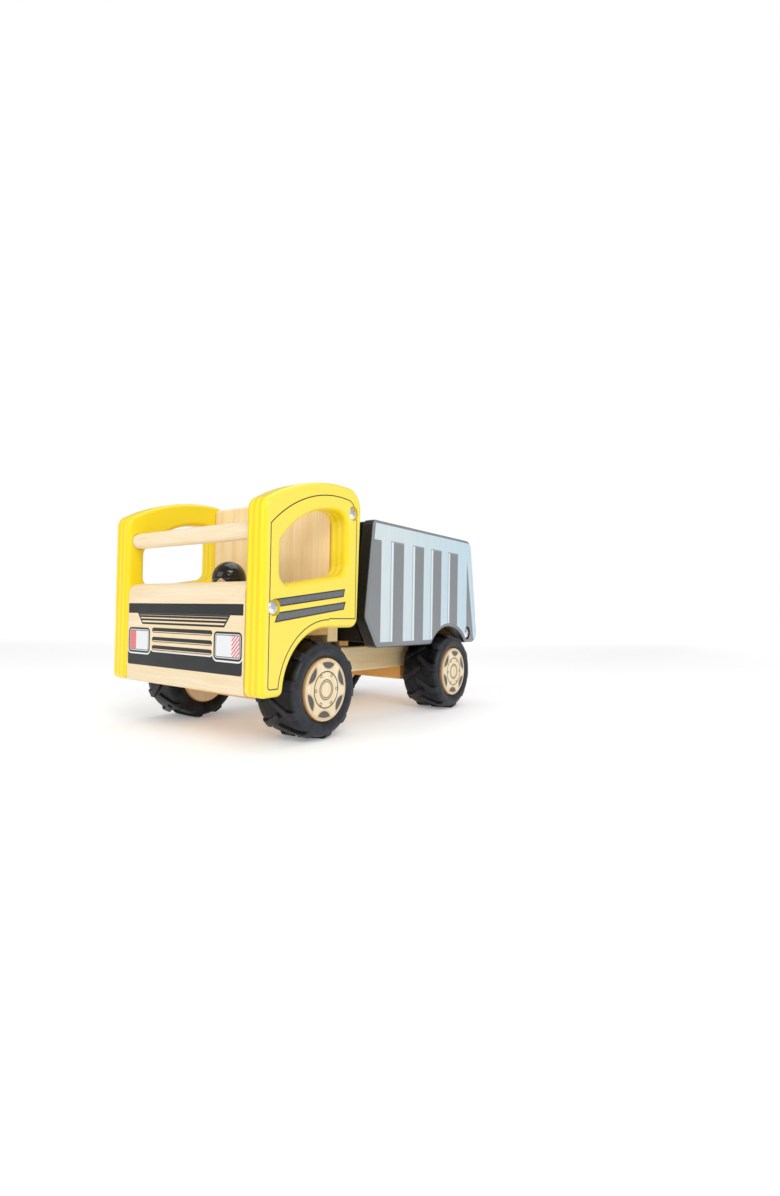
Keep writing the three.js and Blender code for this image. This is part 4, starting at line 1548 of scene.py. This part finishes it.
@dataclass
class AxleSet:
    """One axle with its two wheels, washers and steel rod."""

    name: str
    axle_y: float
    axle_z: float = AXLE_Z * MM
    inner_x: float = 45.5 * MM
    outer_x: float = 83.5 * MM
    carcass: float = 33.3 * MM
    tread: float = 35 * MM
    hub: float = HUB_RADIUS * MM
    lugs: int = 10
    lug_lean: float = 0.25
    drawn_lug: float = 1 * MM
    shoulder: float = 14.5 * MM

    @property
    def body(self) -> str:
        """The body that the wheels turn with."""
        return f"{self.name}_wheels"

    @property
    def middle(self) -> float:
        """The middle of the left tyre across its width."""
        return (self.inner_x + self.outer_x) / 2

    def carcass_profile(self) -> list[Point]:
        """The tyre's closed section, from its seat over the outer sidewall, the tread and the inner one."""
        half = (self.outer_x - self.inner_x) / 2
        seat = self.hub + 0.3 * MM
        outer = [
            (half - 2.6 * MM, seat),
            (half - 1.9 * MM, seat + 0.4 * MM),
            (half - 1.7 * MM, seat + 1.1 * MM),
            (half - 1.0 * MM, seat + 1.9 * MM),
            (half - 0.35 * MM, seat + 3.1 * MM),
            (half, 27.4 * MM),
            (half - 0.1 * MM, 29.0 * MM),
            (half - 0.7 * MM, 30.6 * MM),
            (half - 2.0 * MM, 32.0 * MM),
            (half - 4.2 * MM, 32.9 * MM),
            (half - 8.5 * MM, self.carcass),
        ]
        right = [(self.middle + x, radius) for x, radius in outer]
        left = [(self.middle - x, radius) for x, radius in reversed(outer)]
        return right + left

    def lug(self) -> Piece:
        """One tread lug at the top of the wheel, drawn flat and then wrapped round the tyre."""
        outline = scaled(
            [(18.3, -3.6), (18.3, 2.8), (11.6, 3.6), (-2.2, 12.4), (-3.2, 8.2), (9.2, -1.2), (11.8, -3.6)]
        )
        bpy.ops.mesh.primitive_circle_add(vertices=len(outline), fill_type="NGON")
        lug = bpy.context.object
        for vertex, (x, around) in zip(lug.data.vertices, outline):
            vertex.co = (x, around, 0)
        with editing(lug):
            bpy.ops.mesh.select_all(action="SELECT")
            bpy.ops.mesh.extrude_region_move(TRANSFORM_OT_translate={"value": (0, 0, self.drawn_lug)})
            bpy.ops.transform.resize(value=(0.94, 0.9, 1), center_override=(8 * MM, 3 * MM, 0))
        turn_out(lug)
        crown = 0.9 * self.drawn_lug
        ease(lug, 0.32 * MM, 2, lambda edge: is_sharp(edge) and all(v.co.z > crown for v in edge.verts))
        with editing(lug):
            for place in range(-2, 12, 2):
                bpy.ops.mesh.select_all(action="SELECT")
                bpy.ops.mesh.bisect(plane_co=(0, place * MM, 0), plane_no=(0, 1, 0))
            for place in (7 * MM, self.shoulder, 16.6 * MM):
                bpy.ops.mesh.select_all(action="SELECT")
                bpy.ops.mesh.bisect(plane_co=(place, 0, 0), plane_no=(1, 0, 0))
        fall, run, sunk, tallness = 3.6 * MM, 3.8 * MM, 1.2 * MM, 2.2 * MM
        for vertex in lug.data.vertices:
            x, around, height = vertex.co
            shoulder = max(0.0, x - self.shoulder) / run
            top = self.tread - fall * shoulder**2
            foot = min(self.carcass - sunk, top - tallness)
            radius = foot + (top - foot) * height / self.drawn_lug
            turn = around / self.carcass
            vertex.co = (
                self.middle + x,
                self.axle_y + radius * math.sin(turn),
                self.axle_z + radius * math.cos(turn),
            )
        return lug

    def tyre(self) -> Piece:
        """Builds the left tyre: the carcass with two staggered rows of lugs joined onto it."""
        tyre = lathe(self.carcass_profile(), (0, self.axle_y, self.axle_z), steps=80)
        pitch = 2 * math.pi / self.lugs
        first = self.lug()
        rows: list[Piece] = []
        for number in range(self.lugs):
            for mirror in (False, True):
                copy = first.copy()
                copy.data = first.data.copy()
                bpy.context.scene.collection.objects.link(copy)
                if mirror:
                    centre = Matrix.Translation((self.middle, 0, 0))
                    copy.data.transform(centre @ Matrix.Scale(-1, 4, (1, 0, 0)) @ centre.inverted())
                    copy.data.flip_normals()
                axle = Matrix.Translation((0, self.axle_y, self.axle_z))
                spin = Matrix.Rotation((number + 0.5 * mirror + self.lug_lean) * pitch, 4, "X")
                copy.data.transform(axle @ spin @ axle.inverted())
                rows.append(copy)
        bpy.data.objects.remove(first, do_unlink=True)
        combine(tyre, joined(rows), "UNION", overlapping=True)
        return tyre

    def disc(self) -> Piece:
        """Turns the left hub: a disc with eased rims, a boss towards the chassis and an axle bore."""
        bore_radius, bore_end, boss = 3.3 * MM, 74 * MM, 42.8 * MM
        inner, outer = self.inner_x + 0.8 * MM, self.outer_x - 0.35 * MM
        profile = [
            (bore_end, 0),
            (bore_end, bore_radius),
            (boss, bore_radius),
            (boss, 8.4 * MM),
            (boss + 0.6 * MM, 9 * MM),
            (inner, 9.6 * MM),
            (inner, self.hub - 1.4 * MM),
            (inner + 0.4 * MM, self.hub - 0.5 * MM),
            (inner + 1.2 * MM, self.hub),
            (outer - 1.1 * MM, self.hub),
            (outer - 0.35 * MM, self.hub - 0.3 * MM),
            (outer, self.hub - 1.0 * MM),
            (outer, 12 * MM),
            (outer, 0),
        ]
        return lathe(profile, (0, self.axle_y, self.axle_z), steps=96)

    def build(self, rubber: Finish, wood: Finish, steel: Finish, nylon: Finish) -> None:
        """Builds both wheels and dresses the rod and washers."""
        settle_pair(
            self.tyre(),
            f"{self.name}_lugged_tyre",
            self.body,
            rubber,
            f"{self.name}_tyre",
            32,
        )
        settle_pair(
            self.disc(), f"{self.name}_wheel_disc", self.body, wood, f"{self.name}_hub", 40
        )
        for side in Side:
            dress(f"{self.name}_axle_washer_{side.label}", nylon)
        dress(f"{self.name}_axle", steel)


@dataclass
class Driver:
    """The turned peg driver that stands loose in the cab floor."""

    y: float = DRIVER_Y * MM
    foot: float = 71.8 * MM
    radius: float = 12.5 * MM
    head_radius: float = 12.9 * MM
    head_z: float = DRIVER_HEAD_Z * MM
    neck: float = 6 * MM
    body: str = "driver"

    def build(self, coat: Finish, head: Finish) -> None:
        """Turns the body and the head."""
        neck_z = self.head_z - math.sqrt(self.head_radius**2 - self.neck**2)
        top = neck_z - 0.3 * MM
        shoulder = arc((self.radius - 6.2 * MM, top - 6.4 * MM), 6.2 * MM, 0, 82, 9)
        profile = [
            (self.foot, 0),
            (self.foot, self.radius - 0.9 * MM),
            (self.foot + 0.9 * MM, self.radius),
            *((z, radius) for radius, z in shoulder),
            (top, self.neck),
            (top, 0),
        ]
        torso = lathe(profile, (0, self.y, 0), Along.Z, 64)
        shade(torso)
        settle(torso, "peg_driver_coat", self.body, coat, ["driver_body"])
        lowest = -math.degrees(math.acos(self.neck / self.head_radius))
        ball = [
            (z, max(radius, 0.0)) for radius, z in arc((0, self.head_z), self.head_radius, lowest, 90, 5)
        ]
        skull = lathe([(neck_z, 0), *ball], (0, self.y, 0), Along.Z, 72)
        shade(skull)
        settle(skull, "peg_driver_head", self.body, head, ["driver_head"])


@dataclass
class Bed:
    """The tipping bed: two printed sides, front wall, batten and floor."""

    outer_x: float = BED_FACE_X * MM
    panel: float = 12 * MM
    board_x: float = BOARD_END_X * MM
    rounding: float = 2.6 * MM
    axle: Point = (REAR_AXLE_Y * MM, AXLE_Z * MM)
    arch: float = 42 * MM
    foot: float = 61 * MM
    top: float = 163 * MM
    lean: float = TAIL_LEAN
    body: str = "bed"

    def side_outline(self) -> list[Point]:
        """The side panel's outline, arched over the rear wheel and leaning at the tail."""
        chord = math.degrees(math.asin((self.foot - self.axle[1]) / self.arch))
        reach = self.arch * math.cos(math.radians(chord))
        tail = 155.9 * MM
        tail_top = tail - (self.top - self.foot) * math.tan(math.radians(self.lean))
        corners: list[Corner] = [
            (-25 * MM, self.foot, 6 * MM),
            (self.axle[0] - reach, self.foot, 4 * MM),
            *arc(self.axle, self.arch, 180 - chord, chord)[1:-1],
            (self.axle[0] + reach, self.foot, 4 * MM),
            (tail, self.foot, 10 * MM),
            (tail_top, self.top, 9 * MM),
            (-31.5 * MM, self.top, 5 * MM),
            (-41.2 * MM, 85 * MM, 9 * MM),
        ]
        return rounded(corners)

    def sides(self, finish: Finish, steel: Callable[[Screw], Finish]) -> None:
        """Builds both sides and the two screws that the bed turns on."""
        inner_x = self.outer_x - self.panel
        panel = slab(self.side_outline(), inner_x, self.outer_x)
        screw = Screw(PIVOT_Y * MM, PIVOT_Z * MM, self.outer_x, 5.8 * MM, 2.4 * MM, 3 * MM, 25 * MM, 3 * MM)
        ease(panel, self.rounding, 4, on_a_face)
        screw.drill(panel)
        bore(panel, inner_x - 1 * MM, inner_x + 6 * MM, 2.9 * MM, HINGE_Y * MM, HINGE_Z * MM, 24)
        settle_pair(panel, "bed_panel", self.body, finish, "bed_side")
        metal = steel(screw)
        settle_pair(
            screw.build(), "steel_pivot_screw", "chassis", metal, "bed_pivot_screw", 30
        )

    def boards(self, finish: Finish) -> None:
        """Builds the front wall, the batten below it and the floor."""
        wall = [(-39.6, 81, 0.8), (-30.6, 81, 0.8), (-21.2, 162, 2.6), (-30.2, 162, 2.6)]
        batten = [(-28, 65.5, 1.5), (-8, 65.5, 1.5), (-8, 80.7), (-37.6, 80.7)]
        turn, gap = math.radians(self.lean), 4.8
        foot, top = 81, 89
        tail_foot, tail_top = (
            HINGE_Y + (HINGE_Z - z) * math.tan(turn) - gap / math.cos(turn) for z in (foot, top)
        )
        floor = [(-29, foot), (tail_foot, foot), (tail_top, top), (-29, top)]
        for name, node, outline in (
            ("bed_head_board", "bed_front_wall", wall),
            ("bed_stop_batten", "bed_batten", batten),
            ("bed_floor_board", "bed_floor", floor),
        ):
            board = slab(rounded(scaled(outline)), -self.board_x, self.board_x)
            ease(board, 0.6 * MM, 2, on_a_face)
            shade(board)
            settle(board, name, self.body, finish, [node])


@dataclass
class Tailgate:
    """The swinging tailgate, leaning like the bed's tail, on two steel pins."""

    hinge: Point = (HINGE_Y * MM, HINGE_Z * MM)
    drop: float = 71.5 * MM
    half_thick: float = 4.5 * MM
    half_wide: float = 65.2 * MM
    lean: float = TAIL_LEAN
    body: str = "tailgate"

    def build(self, finish: Finish, steel: Finish) -> None:
        """Builds the panel with its rounded crown, bores its pin holes and dresses the pins."""
        corners: list[Corner] = [
            (-self.half_thick, -self.drop, 1.6 * MM),
            (self.half_thick, -self.drop, 1.6 * MM),
            *arc((0, 0), self.half_thick, 0, 180, 12),
        ]
        turn = math.radians(self.lean)
        outline = [
            (
                self.hinge[0] + y * math.cos(turn) - z * math.sin(turn),
                self.hinge[1] + y * math.sin(turn) + z * math.cos(turn),
            )
            for y, z in rounded(corners)
        ]
        panel = slab(outline, -self.half_wide, self.half_wide)
        for side in Side:
            near, far = sorted((side.value * 53 * MM, side.value * 67 * MM))
            bore(panel, near, far, 2.6 * MM, *self.hinge, 24)
        ease(panel, 1.1 * MM, 3, on_a_face)
        shade(panel)
        settle(panel, "tail_flap", self.body, finish, ["tailgate"])
        for side in Side:
            dress(f"tailgate_pin_{side.label}", steel)


# ---------------------------------------------------------------------------------------------
# Studio
# ---------------------------------------------------------------------------------------------


@dataclass(frozen=True)
class Softbox:
    """A large square light aimed at the truck."""

    name: str
    place: tuple[float, float, float]
    size: float
    power: float
    colour: tuple[float, float, float] = (1.0, 1.0, 1.0)

    def hang(self, target: Vector) -> None:
        """Hangs the light, facing a point."""
        lamp = bpy.data.lights.new(self.name, "AREA")
        lamp.size = self.size
        lamp.energy = self.power
        lamp.color = self.colour
        holder = bpy.data.objects.new(self.name, lamp)
        holder.location = self.place
        holder.rotation_euler = (target - Vector(self.place)).to_track_quat("-Z", "Y").to_euler()
        bpy.context.scene.collection.objects.link(holder)


@dataclass
class Studio:
    """The pale floor, soft light and camera.

    Its angles are in degrees, and the glow's reach is in millimetres from the truck's middle.
    """

    camera_place: tuple[float, float, float] = (346.1 * MM, -404.9 * MM, 88.7 * MM)
    azimuth: float = 37.5
    tilt: float = 1.44
    roll: float = 1.03
    lens: float = 17.66
    shift: float = 0.030
    floor_size: float = 40.0
    sky_light: float = 0.42
    glow: tuple[float, float] = (0.3, 1.0)
    glow_reach: tuple[float, float] = (500.0, 3500.0)
    glow_strength: float = 0.8
    lights: tuple[Softbox, ...] = (
        Softbox("key_softbox", (1.3, -0.9, 1.2), 1.1, 17.0),
        Softbox("front_softbox", (-0.5, -1.5, 0.9), 1.2, 6.8),
        Softbox("top_softbox", (0.0, 0.3, 1.6), 1.4, 9.0),
    )

    def floor(self) -> None:
        """Lays a pale floor with a faint tooth, which glows more the further it is from the truck."""
        bpy.ops.object.select_all(action="DESELECT")
        bpy.ops.mesh.primitive_plane_add(size=self.floor_size)
        floor = bpy.context.object
        floor.name = "studio_floor"
        made = start_material("studio_floor", 0.5)
        tooth = made.bench.noise(made.place, 0.02, detail=3)
        colour = made.bench.blend(made.bench.times(tooth, 0.2), ink(246, 246, 247), ink(240, 240, 242))
        made.bench.feed(made.shader.inputs["Base Color"], colour)
        reach = made.bench.plus(made.bench.size_of(made.x), made.bench.size_of(made.y))
        near, far = ((level, level, level, 1.0) for level in self.glow)
        glow = made.bench.blend(made.bench.span(reach, *self.glow_reach), near, far)
        made.bench.feed(made.shader.inputs["Emission Color"], glow)
        made.shader.inputs["Emission Strength"].default_value = self.glow_strength
        floor.data.materials.append(made.material)

    def sky(self) -> None:
        """Surrounds the scene with an even pale light."""
        world = bpy.data.worlds.new("studio_world")
        world.use_nodes = True
        bench = Bench(world.node_tree)
        background = world.node_tree.nodes["Background"]
        seen = bench.add("ShaderNodeLightPath").outputs["Is Camera Ray"]
        bench.feed(
            background.inputs["Color"], bench.blend(seen, (self.sky_light,) * 3 + (1,), (1, 1, 1, 1))
        )
        bpy.context.scene.world = world
        bpy.context.scene.view_settings.view_transform = "Standard"

    def camera(self) -> None:
        """Sets up the camera, low at the truck's front left corner."""
        azimuth, tilt, roll = (math.radians(value) for value in (self.azimuth, self.tilt, self.roll))
        ahead = Vector(
            (-math.sin(azimuth) * math.cos(tilt), math.cos(azimuth) * math.cos(tilt), math.sin(tilt))
        )
        level = Vector((math.cos(azimuth), math.sin(azimuth), 0))
        upright = level.cross(ahead)
        right = level * math.cos(roll) + upright * math.sin(roll)
        up = upright * math.cos(roll) - level * math.sin(roll)
        lens = bpy.data.cameras.new("camera")
        lens.lens = self.lens
        lens.shift_x = self.shift
        lens.clip_start, lens.clip_end = 0.01, 100
        camera = bpy.data.objects.new("camera", lens)
        turn = Matrix((right, up, -ahead)).transposed().to_4x4()
        camera.matrix_world = Matrix.Translation(self.camera_place) @ turn
        bpy.context.scene.collection.objects.link(camera)
        bpy.context.scene.camera = camera

    def build(self) -> None:
        """Builds the studio."""
        self.floor()
        self.sky()
        for light in self.lights:
            light.hang(Vector((0, 0, 80 * MM)))
        self.camera()


def turned_timber(timber: Timber, name: str, along: Along, shift: float = 0.0) -> Timber:
    """A timber under another name, with its own grain direction and figure."""
    return Timber(name, timber.pale, timber.deep, along, shift, timber.roughness, timber.coat)


def main() -> None:
    """Builds the truck's looks round its frame, then the studio."""
    logging.basicConfig(level=logging.INFO, format="%(name)s: %(message)s")
    effects = Effects()
    steels: dict[tuple[float, float], Finish] = {}

    def steel_for(screw: Screw) -> Finish:
        """The plated steel of one screw, turned about that screw's own axis."""
        place = (screw.y, screw.z)
        if place not in steels:
            steels[place] = Steel(f"screw_steel_{len(steels)}", screw.y / MM, screw.z / MM).build(effects)
        return steels[place]

    cab = Cab()
    cab.sides(YellowPanel().build(effects), steel_for)
    cab.front(FrontPrint().build(effects))
    cab.rear_wall(turned_timber(WARM_BEECH, "rear_wall_wood", Along.Z, 21.0).build(effects))
    # The cab floor takes the shade-darkened rubberwood: painted shade.
    cab.floor(turned_timber(SHADE_DARKENED_BEECH, "cab_floor_wood", Along.X, 5.0).build(effects))
    cab.dowel(turned_timber(PALE_PINE, "rail_wood", Along.X, 61.0).build(effects))

    chassis = Chassis()
    beam_wood = turned_timber(WARM_BEECH, "chassis_wood", Along.Y, 40.0).build(effects)
    # The blocks and packers under the truck take the shade-darkened rubberwood: painted shade.
    cross_wood = turned_timber(SHADE_DARKENED_BEECH, "cross_block_wood", Along.X, 80.0).build(effects)
    chassis.beam(beam_wood)
    chassis.pivot_block(cross_wood)
    chassis.plain_parts(cross_wood)

    nylon = Paint("spacer_nylon", ink(226, 222, 210), ink(206, 202, 190), 0.5, (1, 1, 1)).build(effects)
    for name, axle_y in (("front", FRONT_AXLE_Y), ("rear", REAR_AXLE_Y)):
        chassis.axle_block(name, axle_y * MM, cross_wood)
        disc_wood = turned_timber(PALE_PINE, f"{name}_disc_wood", Along.Z, axle_y)
        rod = Steel(f"{name}_axle_steel", axle_y, AXLE_Z, ROD_GREY, 0.35).build(effects)
        wheels = AxleSet(name, axle_y * MM)
        wheels.build(Rubber(axle_y).build(effects), HubPrint(disc_wood, axle_y).build(effects), rod, nylon)

    paint = DriverPaint()
    Driver().build(paint.coat(effects), paint.head(effects))

    bed = Bed()
    bed.sides(BedPrint().build(effects), steel_for)
    bed.boards(Paint("black_bed_paint", ink(7, 6, 7), ink(18, 17, 18)).build(effects))
    pin_steel = Steel("gate_pin_steel", HINGE_Y, HINGE_Z, ROD_GREY, 0.35).build(effects)
    Tailgate().build(
        Paint("grey_flap_paint", ink(122, 127, 130), ink(140, 144, 147)).build(effects), pin_steel
    )

    Studio().build()


if __name__ == "__main__":
    main()
